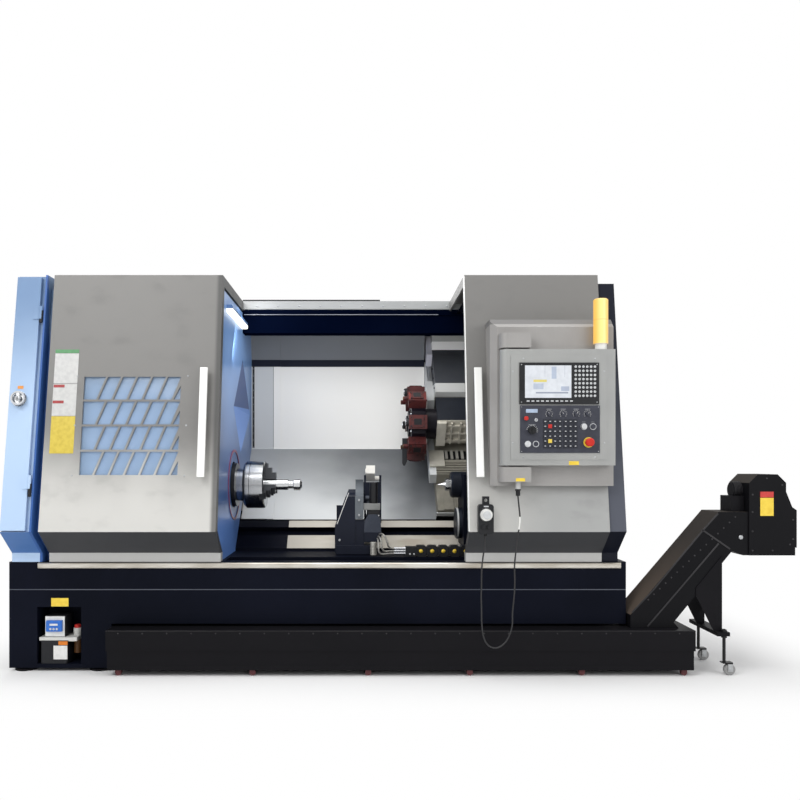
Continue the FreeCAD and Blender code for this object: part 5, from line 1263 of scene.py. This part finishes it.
YELLOW_KEY, RED_KEY = 8, 29
KEY_ACROSS = [127 + 24.3 * col + (3.6 if col > 3 else 0) for col in range(7)]
key_places = [on_panel(across, 34 + 24.4 * row) for row in range(6) for across in KEY_ACROSS]
plain_keys = [place for i, place in enumerate(key_places) if i not in (YELLOW_KEY, RED_KEY)]
copies("panel_keys", panel_key, on_face(KEY_BED, plain_keys), key_dark, "panel_box")
copies("panel_key_marks", panel_mark, on_face(KEY_BED - PANEL_KEY_TALL, plain_keys), key_white, "panel_box")
for index, finish in ((YELLOW_KEY, key_yellow), (RED_KEY, key_red)):
    copies("marked_key_%d" % index, panel_key, on_face(KEY_BED, [key_places[index]]), finish, "panel_box")

x, z = on_panel(61, 208)
plate("panel_name_plate", pale_foil, "panel_box",
      about(x, 0.029), (PANEL_FACE - 0.0012, PANEL_FACE), about(z, 0.009), 0.0004)
red_push = cap(Mould(), *on_panel(33, 171), PANEL_FACE, 0.0112, 0.008, 0.0016)
red_push.done("red_push", key_red, "panel_box", smooth=True)
SWITCH, SWITCH_TALL = on_panel(82, 163), 0.006
switch = ring(Mould(), *SWITCH, PANEL_FACE, 0.0062, 0.0085, 0.004)
cap(switch, *SWITCH, PANEL_FACE, 0.006, SWITCH_TALL)
switch.done("key_switch", chrome, "panel_box", smooth=True)
slot_line = fan(Mould(), *SWITCH, PANEL_FACE - SWITCH_TALL, -0.004, 0.008, 0.0012, (20,))
slot_line.done("key_slot", knob_black, "panel_box")

marks, captions, pointers = Mould(), Mould(), Mould()
for across, way in ((147, -40), (217, -40), (281, 30), (337, 30)):
    x, z = on_panel(across, 193)
    fan(marks, x, z, PANEL_FACE, 0.0140, 0.005, 0.0013, range(-130, 131, 26))
    captions.slab(about(x, 0.013), CAPTION, (z + 0.0220, z + 0.0250))
    fan(pointers, x, z, KNOB_TOP, 0.002, 0.0068, 0.0014, (way,))
x, z = on_panel(62, 111)
fan(marks, x, z, PANEL_FACE, 0.0225, 0.0065, 0.0016, range(-75, 106, 18))
captions.slab(about(x, 0.017), CAPTION, (z + 0.0285, z + 0.0305))
for across in (318, 363):
    x, z = on_panel(across, 152)
    captions.slab(about(x, 0.008), CAPTION, (z, z + 0.0016))
marks.done("dial_marks", white_foil, "panel_box")
captions.done("caption_bars", grey_foil, "panel_box")
pointers.done("dial_pointers", white_foil, "panel_box")

push = cap(Mould(), *on_panel(41, 44), PANEL_FACE, 0.0140, 0.0085, 0.0012)
cap(push, *on_panel(318, 130), PANEL_FACE - 0.012, 0.0135, 0.002, 0.001)
push.done("white_push", key_white, "panel_box", smooth=True)
trim = Mould()
for across, up, inner, outer, tall in (
    (41, 44, 0.0140, 0.0160, 0.004),
    (81, 44, 0.0120, 0.0160, 0.004),
    (318, 130, 0.0140, 0.0165, 0.0045),
    (363, 130, 0.0130, 0.0165, 0.0045),
):
    ring(trim, *on_panel(across, up), PANEL_FACE, inner, outer, tall)
trim.done("push_rings", chrome, "panel_box", smooth=True)
collar = ring(Mould(), *on_panel(342, 52), PANEL_FACE, 0.0145, 0.0255, 0.003, 48)
collar.done("stop_collar", yellow_foil, "panel_box", smooth=True)
LOW_PLATE = (-0.9262, -0.9245)
plate("box_yellow_plate", yellow_foil, "panel_box", (0.826, 0.875), LOW_PLATE, (1.085, 1.104))
plate("arm_yellow_plate", yellow_foil, "door_right", (0.563, 0.608), LOW_PLATE, (1.004, 1.020))

# ---------------------------------------------------------------- pendant

WHEEL_AT = (0.423, 0.835)
PENDANT_FACE, WHEEL_FACE = -0.878, -0.908
dial = ring(Mould(), *WHEEL_AT, PENDANT_FACE, 0.031, 0.0345, 0.002, 48)
dial.done("pendant_dial", knob_black, "door_right", smooth=True)
marks = fan(Mould(), *WHEEL_AT, PENDANT_FACE - 0.002, 0.0315, 0.0025, 0.0006, range(0, 360, 9), 0.0004)
marks.done("pendant_dial_marks", white_foil, "door_right")
SELECTOR_Z, SELECTOR_TALL = 0.773, 0.012
caps = Mould()
for x in (0.410, 0.436):
    cap(caps, x, SELECTOR_Z, PENDANT_FACE, 0.0085, SELECTOR_TALL, 0.0014)
caps.slab((0.411, 0.435), (-0.8792, -0.8775), (0.874, 0.880))
caps.done("pendant_caps", key_white, "door_right", smooth=True)
for side, x, way in (("left", 0.410, 0), ("right", 0.436, 40)):
    pointer = fan(Mould(), x, SELECTOR_Z, PENDANT_FACE - SELECTOR_TALL, -0.006, 0.012, 0.0016, (way,))
    pointer.done("pendant_pointer_" + side, knob_black, "door_right")
gland = Mould().turn([(-0.006, 0.0042), (-0.006, 0.0075), (0.004, 0.0085), (0.004, 0.0042), (-0.006, 0.0042)],
                     (0.423, -0.858, 0.733), "z", 24)
gland.done("pendant_gland", rubber, "door_right", smooth=True)
nut = Mould().turn([(0, 0), (0, 0.0125), (0.002, 0.014), (0.010, 0.014), (0.012, 0.0125), (0.012, 0)],
                   (0.580, -0.890, 0.955), "z", 6)
nut.done("gland_nut", knob_black, "door_right")
wheel_cap = ring(Mould(), *WHEEL_AT, WHEEL_FACE, 0.006, 0.020, 0.0008, 40)
cap(wheel_cap, *WHEEL_AT, WHEEL_FACE, 0.005, 0.003, 0.001)
wheel_cap.done("wheel_face", key_white, "wheel", smooth=True)

# ---------------------------------------------------------------- left door, cabinet door

LABEL_X = (-1.813, -1.689)
FOIL = (-0.0012, 0.0008)


def up_front(low, high):
    """Two heights as places up the leaning face."""
    return front_up(low), front_up(high)


whites = Mould(FRONT)
for low, high in ((1.511, 1.671), (1.3395, 1.508)):
    whites.slab(LABEL_X, FOIL, up_front(low, high))
whites.done("door_white_plates", door_white, "door_left", 0.0004)
plate("door_green_plate", door_green, "door_left", LABEL_X, FOIL, up_front(1.6725, 1.692), 0.0004, FRONT)
plate("door_yellow_plate", door_yellow, "door_left", LABEL_X, FOIL, up_front(1.1437, 1.3375), 0.0004, FRONT)
bars = Mould(FRONT)
for low in (1.489, 1.405):
    bars.slab((-1.811, -1.754), (-0.0018, 0.0004), up_front(low, low + 0.015))
bars.done("door_red_bars", door_red, "door_left")
grille_corners = [FRONT @ Vector((x, 0, front_up(z))) for x in (-1.690, -1.112) for z in (1.03, 1.29, 1.55)]
copies("grille_bolts", dome_screw, all_facing(OUT, grille_corners), screw_steel, "door_left", 0.005)

LOCK_X, LOCK_UP = -1.984, front_up(1.4275)
lock = Mould(FRONT)
lock.turn([(-0.024, 0.027), (-0.024, 0.0385), (-0.0285, 0.037), (-0.0285, 0.029), (-0.024, 0.027)],
          (LOCK_X, 0, LOCK_UP), "y", 48)
lock.turn([(-0.024, 0), (-0.024, 0.0155), (-0.030, 0.014), (-0.031, 0.012), (-0.031, 0)],
          (LOCK_X, 0, LOCK_UP), "y", 32)
lock.done("lock_ring", lock_face, "round_lock", smooth=True)
plate("lock_slot", knob_black, "round_lock",
      about(LOCK_X, 0.002), (-0.0316, -0.030), about(LOCK_UP, 0.009), seat=FRONT)
plate("cabinet_plate", orange_foil, "cabinet_leaf",
      (-1.999, -1.969), FOIL, up_front(1.482, 1.498), 0.0003, FRONT)
hinges = Mould(FRONT)
for z in (0.955, 1.87):
    at = (-1.8985, -0.004, front_up(z))
    hinges.turn([(-0.034, 0), (-0.034, 0.006), (-0.032, 0.008), (0.032, 0.008), (0.034, 0.006), (0.034, 0)],
                at, "z", 20)
    for joint in (-0.010, 0.010):
        hinges.turn(hoop(*about(joint, 0.001), 0.008, 0.0088), at, "z", 20)
hinges.done("cabinet_hinges", knob_black, "frame", smooth=True)

# Near-white strip on the right door's folded left edge: a painted highlight.
plate("door_edge_trim", bright_bar, "door_right",
      (0.3418, 0.3475), (-0.0006, 0.016), (0.004, front_up(2.096)), 0.0008, FRONT)

# ---------------------------------------------------------------- rail, beam and guards

rail_bolts = on_face(0.074, [(x, 2.075) for x in steps(-0.86, 10, 0.132)])
copies("rail_bolts", dome_screw, rail_bolts, screw_steel, "frame", 0.006)
# Pale strip along the beam's lower lip: a painted highlight.
plate("beam_lip", lip_highlight, "frame", (-0.94, 0.275), (0.0712, 0.0724), (2.0200, 2.0240))
guard_bolts = all_facing(FORWARD, even((-0.938, 0.4648, 1.20), (-0.938, 0.4648, 1.73), 12))
copies("guard_bolts", dome_screw, guard_bolts, screw_steel, "frame", 0.0038)
plate("guard_edge", seam_black, "frame", (-0.9445, -0.931), (0.4635, 0.4655), (1.19, 1.745))

# ---------------------------------------------------------------- cross slide, turret slide, carriage

column = Mould(SLOPE)
column.slab((0.262, 0.320), (0.4215, 0.4435), (-0.092, 0.100))
column.slab((0.266, 0.316), (0.4205, 0.4225), (-0.086, 0.002))
column.done("turret_column", column_cast, "turret", 0.001)
plate("slide_column", column_cast, "slope_slide",
      (0.224, 0.318), (0.300, 0.441), (-0.1602, -0.1475), 0.0012, SLOPE)
plate("comb_backing", knob_black, "slope_slide", (0.290, 0.462), (0.366, 0.442), (-0.1605, -0.1582), seat=SLOPE)
teeth = Mould(SLOPE)
for x in steps(0.3000, 5, 0.0337):
    teeth.slab(about(x, 0.0085), (0.368, 0.442), (-0.1590, -0.148))
teeth.done("comb_teeth", cut_steel, "slope_slide", 0.0008)
plate("flank_cover", flank_pale, "slope_slide", (0.2275, 0.2645), (1.03, 1.24), (0.045, 0.165), 0.002, SLOPE)
pipes = Mould(SLOPE)
for x in (0.233, 0.2465, 0.257):
    pipes.turn(drum(0, 0.150, 0.0042), (x, 0.885, 0.064), "y", 16)
    pipes.turn(drum(0.146, 0.158, 0.0064), (x, 0.880, 0.064), "y", 6)
pipes.done("flank_pipes", screw_steel, "slope_slide", smooth=True)
ribs = Mould(SLOPE)
for up in (0.250, 0.272, 0.294, 0.316, 0.338):
    ribs.slab((0.262, 0.640), about(up, 0.0045), (-0.1605, -0.152))
ribs.done("slide_ribs", cream_cast, "slope_slide", 0.0012)
flank_bolts = [SLOPE @ Vector(place) for place in (
    (0.2638, 0.75, 0.11), (0.2638, 0.85, 0.11), (0.2638, 0.95, 0.11),
    (0.2198, 0.72, -0.05), (0.2198, 0.72, 0.03),
)]
copies("flank_bolts", hex_bolt, all_facing(LEFTWARD, flank_bolts), screw_black, "slope_slide", 0.006)
rib_bolts = [SLOPE @ Vector((x, 0.404, -0.1605)) for x in (0.486, 0.60)]
copies("rib_bolts", hex_bolt, all_facing(SLOPE_OUT, rib_bolts), screw_steel, "slope_slide", 0.008)
WIPER_X = (0.254, 0.376)
plate("carriage_light_bar", edge_light, "saddle", WIPER_X, (0.0125, 0.0205), (-0.296, -0.268), 0.001, SLOPE)
plate("carriage_wiper", knob_black, "saddle", WIPER_X, (0.0105, 0.0205), (-0.355, -0.298), 0.001, SLOPE)

# ---------------------------------------------------------------- tool disc and its tools

DISC = Vector((0, 0.1348, 1.3428))
DISC_FACE = 0.1023
STATIONS = range(0, 360, 45)


def station(turn):
    """The frame of a tool station: local x along the spindle, y to the side, z outwards."""
    return Matrix.Translation(DISC) @ Matrix.Rotation(-math.radians(turn), 4, "X")


holder_screws = []
for turn in STATIONS:
    outwards = (station(turn).to_3x3() @ Vector((0, 0, 1))).normalized()
    for x, side in ((0.100, -0.026), (0.100, 0.026), (0.170, -0.026), (0.170, 0.026)):
        holder_screws.append((station(turn) @ Vector((x, side, 0.2312)), outwards))
copies("holder_screws", socket_screw, holder_screws, screw_black, "tool_turret", 0.0058)
disc_screws = [station(turn) @ Vector((DISC_FACE - 0.0002, 0, 0.112)) for turn in range(0, 360, 15)]
copies("disc_screws", socket_screw, all_facing(LEFTWARD, disc_screws), screw_black, "tool_turret", 0.005)
hub = Mould()
hub.turn([(0.009, 0), (0.009, 0.086), (-0.006, 0.082), (-0.008, 0.052), (-0.016, 0.048), (-0.016, 0)],
         (0.094, DISC.y, DISC.z), "x", 64)
hub.done("disc_hub", disc_skin, "tool_turret", smooth=True)
nozzles = Mould()
for turn in STATIONS:
    nozzles.turn([(0.001, 0), (0.001, 0.007), (-0.003, 0.007), (-0.006, 0.005), (-0.008, 0.002), (-0.008, 0)],
                 station(turn + 22.5) @ Vector((DISC_FACE, 0, 0.140)), "x", 20)
nozzles.done("coolant_nozzles", chrome, "tool_turret", smooth=True)
tips = Mould()
for turn in (45, 135, 225, 315):
    tips.seat = station(turn)
    tips.slab((0.0490, 0.0600), (-0.009, 0.009), (0.203, 0.209))
tips.done("insert_tips", gold_tip, "tool_turret", 0.0006)
plates = Mould()
for turn in STATIONS:
    plates.seat = station(turn)
    plates.slab((0.112, 0.158), (-0.019, 0.019), (0.2380, 0.2402))
plates.done("cap_plates", knob_black, "tool_turret", 0.0006)
# Brighter red bands on the outer faces of the three upper holders: painted light where they face up.
tops = Mould()
for turn in (0, 45, 315):
    tops.seat = station(turn)
    for x in ((0.0835, 0.0985), (0.1715, 0.1905)):
        tops.slab(x, (-0.030, 0.030), (0.2300, 0.2316))
tops.done("holder_tops", lit_holder_red, "tool_turret", 0.0006)
heads = Mould()
head_rings = Mould()
for turn in (0, 90, 270):
    at = station(turn) @ Vector((0.082, 0, 0.198))
    heads.turn([(0.001, 0), (0.001, 0.026), (-0.014, 0.026), (-0.018, 0.022), (-0.018, 0)], at, "x", 40)
    head_rings.turn([(-0.0175, 0.018), (-0.0175, 0.0215), (-0.020, 0.021), (-0.020, 0.018), (-0.0175, 0.018)],
                    at, "x", 40)
heads.done("boring_heads", screw_black, "tool_turret", smooth=True)
head_rings.done("boring_rings", chrome, "tool_turret", smooth=True)
blade = Mould(station(180))
blade.sheet([(0.052, 0.092), (0.083, 0.092), (0.083, 0.238), (0.070, 0.266), (0.058, 0.266), (0.052, 0.250)],
            -0.003, 0.003)
blade.done("parting_blade", screw_black, "tool_turret", 0.0006)

# ---------------------------------------------------------------- steady rest, its lines and the chain

STEADY_FACE = -0.400
FOLD = 0.008
ribbed_tube = [(0, 0)]
for i in range(9):
    ribbed_tube += [(FOLD * i, 0.0175), (FOLD * i + FOLD / 2, 0.0195)]
ribbed_tube += [(0.073, 0.0175), (0.073, 0)]
bellows = Mould().turn(ribbed_tube, (-0.1365, -0.420, 0.577), "z", 28)
bellows.done("steady_bellows", cut_steel, "steady", smooth=True)
steady_bolts = on_face(STEADY_FACE, ((-0.328, 0.660), (-0.218, 0.80), (-0.218, 0.885)))
copies("steady_bolts", socket_screw, steady_bolts, screw_steel, "steady", 0.0065)
arm_bolts = all_facing(LEFTWARD, [(-0.1775, -0.232, z) for z in (1.02, 1.05)])
copies("arm_bolts", hex_bolt, arm_bolts, screw_black, "arm_upper", 0.006)

foot = Mould()
foot.slab((-0.348, -0.155), (-0.404, -0.300), (0.578, 0.630))
foot.slab((-0.190, -0.092), (-0.400, -0.318), (0.648, 0.703))
foot.slab((-0.262, -0.188), (-0.394, -0.330), (0.600, 0.772))
foot.done("steady_foot", steady_skin, "steady", 0.002)
CYLINDER = [
    (-0.190, 0.702), (-0.092, 0.702), (-0.096, 0.775), (-0.114, 0.803), (-0.166, 0.803), (-0.188, 0.762),
]
Mould().sheet(CYLINDER, -0.396, -0.326).done("steady_cylinder", cylinder_cast, "steady", 0.002)
ram = Mould().slab((-0.168, -0.102), (-0.388, -0.336), (0.801, 0.830))
ram.turn([(0, 0), (0, 0.024), (0.118, 0.024), (0.121, 0.021), (0.121, 0)], (-0.136, -0.362, 0.864), "z", 28)
ram.done("steady_ram", knob_black, "steady", 0.0015)
plate("steady_collar", collar_cast, "steady", (-0.196, -0.098), (-0.392, -0.332), (0.829, 0.865), 0.002)
# Pale strip along the sloped edge of the steady's bracket: a painted highlight.
EDGE_HIGHLIGHT = [(-0.2786, 0.926), (-0.2746, 0.926), (-0.3396, 0.750), (-0.3440, 0.750)]
Mould().sheet(EDGE_HIGHLIGHT, -0.4008, -0.3995).done("steady_edge", edge_light, "steady")

UNION_Y = -0.450
UNION_LEVELS = (0.618, 0.604, 0.590)
LINE_PATHS = (
    ((-0.104, -0.392, 0.690), (-0.098, -0.425, 0.700), (-0.076, -0.452, 0.692), (-0.060, -0.460, 0.655),
     (-0.054, -0.456, 0.628), (-0.040, UNION_Y, 0.618), (-0.018, UNION_Y, 0.618)),
    ((-0.110, -0.392, 0.680), (-0.106, -0.430, 0.684), (-0.094, -0.458, 0.665), (-0.092, -0.464, 0.622),
     (-0.078, -0.460, 0.601), (-0.048, UNION_Y, 0.604), (-0.018, UNION_Y, 0.604)),
    ((-0.116, -0.392, 0.668), (-0.112, -0.430, 0.670), (-0.110, -0.462, 0.645), (-0.110, -0.468, 0.602),
     (-0.094, -0.464, 0.585), (-0.052, UNION_Y, 0.590), (-0.018, UNION_Y, 0.590)),
)
paths = tube("steady_lines_path", LINE_PATHS, 0.0052, 3)
braided = bpy.data.meshes.new_from_object(paths.evaluated_get(bpy.context.evaluated_depsgraph_get()))
bpy.data.objects.remove(paths)
braided.name = "steady_lines"
braided.materials.clear()
braided.materials.append(braid.material)
braided.shade_smooth()
steady_lines = placed("steady_lines", braided)
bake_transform(steady_lines)
unions = Mould()
for level in UNION_LEVELS:
    unions.turn([(-0.022, 0), (-0.022, 0.0055), (-0.012, 0.0068), (0.030, 0.0068), (0.030, 0.0082),
                 (0.044, 0.0082), (0.044, 0)], (0, UNION_Y, level), "x", 20)
unions.done("line_unions", chrome, "frame", smooth=True)
CHAIN_FACE = -0.4795
LINKS_LEFT, LINK = 0.0976, 0.062
plate("chain_end", black_plastic, "frame", (0.0415, LINKS_LEFT), (CHAIN_FACE, -0.4225), (0.575, 0.6295), 0.0015)
copies("chain_end_dots", round_key, grid((0.0647, 0.0869), CHAIN_FACE, (0.5906,)), key_white, "frame", 0.005)
chain_domes = grid(steps(0.1261, 10, LINK), -0.4782, (0.606,))
copies("chain_domes", dome_screw, chain_domes, bright_yellow, "frame", 0.0115)
chain_pins = grid(steps(LINKS_LEFT + 0.008, 10, LINK), -0.4785, (0.590, 0.622))
copies("chain_pins", round_key, chain_pins, knob_black, "frame", 0.004)

# ---------------------------------------------------------------- tailstock

TAIL_FACE = -0.400
TAIL_DISC_AT = (0.352, -0.270, 0.745)
plate("tail_apron", navy, "tail", (0.372, 0.400), (-0.4015, -0.140), (0.620, 1.030), 0.002)
tail_disc = Mould().turn([(0.0205, 0), (0.0205, 0.088), (-0.008, 0.088), (-0.012, 0.084), (-0.012, 0)],
                         TAIL_DISC_AT, "x", 56)
tail_disc.done("tail_disc", dark_cast, "tail", smooth=True)
Mould().turn([(-0.0085, 0.0884), (0.001, 0.0884), (0.001, 0.0905), (-0.0085, 0.0905), (-0.0085, 0.0884)],
             TAIL_DISC_AT, "x", 56).done("tail_disc_rim", edge_light, "tail", smooth=True)
tail_bolts = grid((0.47, 0.56, 0.66, 0.72), TAIL_FACE, (0.62,))
copies("tail_bolts", socket_screw, tail_bolts, screw_steel, "tail", 0.007)

# ---------------------------------------------------------------- base, lubrication unit

GAUGE_FACE = -0.6962
plate("base_groove_edge", groove_blue, "frame", (-2.054, 1.186), (-0.6962, -0.6935), (0.4275, 0.4315))
plate("base_yellow_plate", yellow_foil, "frame", (-1.8335, -1.743), (-0.6966, -0.6935), (0.341, 0.385), 0.0003)
plate("pump_face", white_foil, "frame", (-1.871, -1.769), (-0.6812, -0.6785), (0.180, 0.286), 0.0008)
plate("pump_gauge_panel", blue_foil, "frame", (-1.862, -1.779), (GAUGE_FACE, -0.6790), (0.208, 0.266), 0.0014)
pump_dots = grid((-1.838, -1.821, -1.804), GAUGE_FACE, (0.222,))
copies("pump_dots", round_key, pump_dots, key_white, "frame", 0.006)
plate("pump_bar", white_foil, "frame", (-1.842, -1.800), (-0.6972, -0.6955), (0.240, 0.250))
plate("oil_filler_cap", amber, "frame", (-1.797, -1.749), (-0.6950, -0.6895), (0.137, 0.157), 0.002)
plate("oil_tank_plate", white_foil, "frame", (-1.823, -1.750), (-0.6935, -0.6918), (0.062, 0.134), 0.0004)
bonnet = Mould().turn([(0, 0), (0, 0.017), (0.014, 0.017), (0.0175, 0.013), (0.0175, 0)],
                      (-1.722, -0.621, 0.2145), "z", 28)
bonnet.done("bonnet_cap", key_red, "frame", smooth=True)

# ---------------------------------------------------------------- chip conveyor and tank

CONVEYOR_FACE, HEAD_FACE = -0.740, -0.748
HEAD_PLATE_X, HEAD_FOIL = (1.8654, 1.9344), (-0.7496, -0.7478)
plate("head_yellow_plate", yellow_foil, "frame", HEAD_PLATE_X, HEAD_FOIL, (0.8205, 0.914), 0.0004)
plate("head_red_plate", red_foil, "frame", HEAD_PLATE_X, HEAD_FOIL, (0.916, 0.946), 0.0004)
pivot = cap(Mould(), 1.7678, 0.7088, CONVEYOR_FACE, 0.011, 0.006, 0.002)
pivot.done("conveyor_bolt", screw_steel, "frame", smooth=True)


def seam(mould, points, wide, face=CONVEYOR_FACE, proud=0.0022):
    """A raised strip along a line on an upright face."""
    for (xa, za), (xb, zb) in zip(points, points[1:]):
        long = math.hypot(xb - xa, zb - za)
        nx, nz = -(zb - za) / long * wide / 2, (xb - xa) / long * wide / 2
        corners = [(xa + nx, za + nz), (xb + nx, zb + nz), (xb - nx, zb - nz), (xa - nx, za - nz)]
        mould.sheet(corners, face - proud, face + 0.0006)


seams = Mould()
seam(seams, [(1.650, 0.832), (1.573, 0.747), (1.313, 0.435), (1.203, 0.318)], 0.007)
seam(seams, [(1.283, 0.245), (1.653, 0.677)], 0.008)
seam(seams, [(1.566, 0.749), (1.712, 0.648)], 0.008)
seam(seams, [(1.812, 0.835), (1.812, 0.640)], 0.007)
seams.done("conveyor_seams", seam_black, "frame")
top_edge = even((1.275, 0, 0.402), (1.728, 0, 0.832), 16)
conveyor_rivets = on_face(CONVEYOR_FACE, [(p.x + 0.012, p.z - 0.018) for p in top_edge])
copies("conveyor_rivets", dome_screw, conveyor_rivets, seam_black, "frame", 0.0045)
head_rivets = on_face(HEAD_FACE, (
    (1.826, 0.640), (1.826, 0.74), (1.826, 0.84), (1.826, 0.93), (1.90, 1.015), (1.98, 0.98), (2.036, 0.80),
    (2.036, 0.70), (1.93, 0.640), (2.02, 0.672),
))
copies("head_rivets", dome_screw, head_rivets, seam_black, "frame", 0.005)
fins = Mould()
for x in steps(1.7665, 6, 0.0074):
    fins.turn(hoop(0, 0.0028, 0.0412, 0.0450), (x, -0.640, 0.9520), "x", 40)
fins.done("motor_fins", seam_black, "frame", smooth=True)
# Grey line along the black tank's top edge: a painted highlight.
plate("tank_lip", seam_black, "frame", (-1.514, 1.508), (-0.8018, -0.7998), (0.2335, 0.2362))
tank_rivets = grid(steps(-1.45, 24, 0.125), -0.801, (0.222,))
copies("tank_rivets", dome_screw, tank_rivets, seam_black, "frame", 0.004)

# ---------------------------------------------------------------- back and right end

CABINET_BACK, REAR_FACE = 0.968, 0.880
CABINET_SEAM = (0.9675, 0.9686)
rear_seams = Mould()
for x in (-0.496, 0.039, 0.574):
    rear_seams.slab(about(x, 0.0012), CABINET_SEAM, (0.745, 1.835))
for z in (0.745, 1.835):
    rear_seams.slab((-0.496, 0.574), CABINET_SEAM, about(z, 0.0012))
for x in (-1.08, 0.80):
    rear_seams.slab(about(x, 0.0014), (0.8795, 0.8806), (0.580, 2.050))
rear_seams.done("rear_seams", seam_black, "frame")
rear_hinges = Mould()
for x in (-0.490, 0.568):
    for z in (0.93, 1.29, 1.65):
        rear_hinges.turn(drum(-0.032, 0.032, 0.0075), (x, CABINET_BACK, z), "z", 20)
rear_hinges.done("rear_hinges", knob_black, "frame", smooth=True)
rear_locks = Mould()
for x in (0.010, 0.068):
    rear_locks.slab(about(x, 0.011), (0.9675, 0.9720), (1.250, 1.370))
    rear_locks.slab(about(x, 0.007), (0.9715, 0.9770), (1.262, 1.345))
rear_locks.done("rear_locks", knob_black, "frame", 0.002)
rear_bolts = grid(steps(-1.84, 11, 0.284), REAR_FACE, (0.620, 2.020), BACKWARD)
rear_bolts += grid((-1.84, 1.01), REAR_FACE, steps(0.90, 4, 0.28), BACKWARD)
copies("rear_bolts", dome_screw, rear_bolts, screw_steel, "frame", 0.006)
slats = Mould()
for z in steps(1.491, 8, 0.036):
    slats.sheet([(0.8795, z - 0.011), (0.8795, z + 0.002), (0.8880, z - 0.009)], -1.628, -1.232, "x")
slats.done("vent_slats", navy, "frame", 0.0006)

# ---------------------------------------------------------------- studio

FLOOR_REACH = 60


def floor_finish():
    """Pale floor that fades to plain white away from the machine and keeps its shadow near it."""
    made = bpy.data.materials.new("studio_floor")
    made.use_nodes = True
    made.node_tree.nodes.clear()
    start = Plug(made.node_tree)
    x, y, _ = axes(start)
    beyond = start.sum("MAXIMUM", abs(x) - 2.1, abs(y) - 1.0)
    ray = start.node("ShaderNodeLightPath", output="Is Camera Ray")
    grain = cloud(start, 0.4, detail=2.0)
    pale = tint(grain, tone(243, 243, 243), tone(240, 240, 240))
    body = start.node("ShaderNodeBsdfDiffuse", (), {"Color": pale})
    glow = start.node("ShaderNodeEmission", (), {"Color": WHITE_LIGHT, "Strength": 1.0})
    mixed = start.node("ShaderNodeMixShader", (), {0: ease(beyond, -0.25, 0.45) * ray, 1: body, 2: glow})
    start.node("ShaderNodeOutputMaterial", (), {"Surface": mixed})
    return made


def studio_air(tree):
    """Even light from all round, seen as plain white by the camera, by metal and through glass."""
    start = Plug(tree)
    rays = [
        start.node("ShaderNodeLightPath", output=ray)
        for ray in ("Is Camera Ray", "Is Glossy Ray", "Is Transmission Ray")
    ]
    seen = start.sum("MAXIMUM", start.sum("MAXIMUM", rays[0], rays[1]), rays[2])
    soft = start.node("ShaderNodeBackground", (), {"Color": WHITE_LIGHT, "Strength": 0.62})
    plain = start.node("ShaderNodeBackground", (), {"Color": WHITE_LIGHT, "Strength": 1.0})
    lit = start.node("ShaderNodeMixShader", (), {0: seen, 1: soft, 2: plain})
    start.node("ShaderNodeOutputWorld", (), {"Surface": lit})


def softbox(name, place, aim, size, power, unseen=False):
    """A flat lamp at a place, aimed at a point; an unseen one lights without showing."""
    lamp = bpy.data.lights.new(name, "AREA")
    lamp.shape = "RECTANGLE"
    lamp.size, lamp.size_y = size
    lamp.energy = power
    box = placed(name, lamp)
    box.location = place
    box.rotation_euler = (Vector(aim) - Vector(place)).to_track_quat("-Z", "Y").to_euler()
    if unseen:
        box.visible_camera = False
        box.visible_glossy = False


floor_mesh = bpy.data.meshes.new("floor")
floor_mesh.from_pydata(
    [(x * FLOOR_REACH, y * FLOOR_REACH, 0) for x, y in ((-1, -1), (1, -1), (1, 1), (-1, 1))], [], [(0, 1, 2, 3)]
)
floor_mesh.materials.append(floor_finish())
floor = placed("floor", floor_mesh)

world = bpy.data.worlds.new("studio")
bpy.context.scene.world = world
world.use_nodes = True
world.node_tree.nodes.clear()
studio_air(world.node_tree)

softbox("key_softbox", (-3.4, -5.2, 5.2), (-0.2, -0.4, 0.9), (3.2, 3.2), 190)
softbox("fill_softbox", (4.6, -5.0, 3.0), (0.4, -0.4, 0.9), (3.0, 3.0), 90)
softbox("top_softbox", (0.0, -1.2, 5.4), (0.0, 0.0, 1.0), (4.5, 2.4), 90)
softbox("back_softbox", (-2.6, 5.6, 4.4), (0.0, 0.8, 1.0), (3.0, 3.0), 110)
softbox("room_lamp", (-0.25, -0.62, 1.55), (-0.25, 0.4, 1.4), (0.9, 0.5), 4.2, unseen=True)
softbox("work_glow", (-0.900, -0.21, 1.935), (-0.65, 0.40, 1.62), (0.05, 0.5), 1.1, unseen=True)

eye = bpy.data.cameras.new("photo_view")
eye.lens = 34.5
eye.sensor_width = 36.0
eye.shift_x = 0.045
eye.shift_y = 0.0775
eye.clip_end = 200
camera = placed("photo_view", eye)
camera.location = (-0.190, -4.725, 1.10)
camera.rotation_euler = (math.radians(90), 0, 0)
bpy.context.scene.camera = camera
bpy.context.scene.view_settings.view_transform = "Standard"
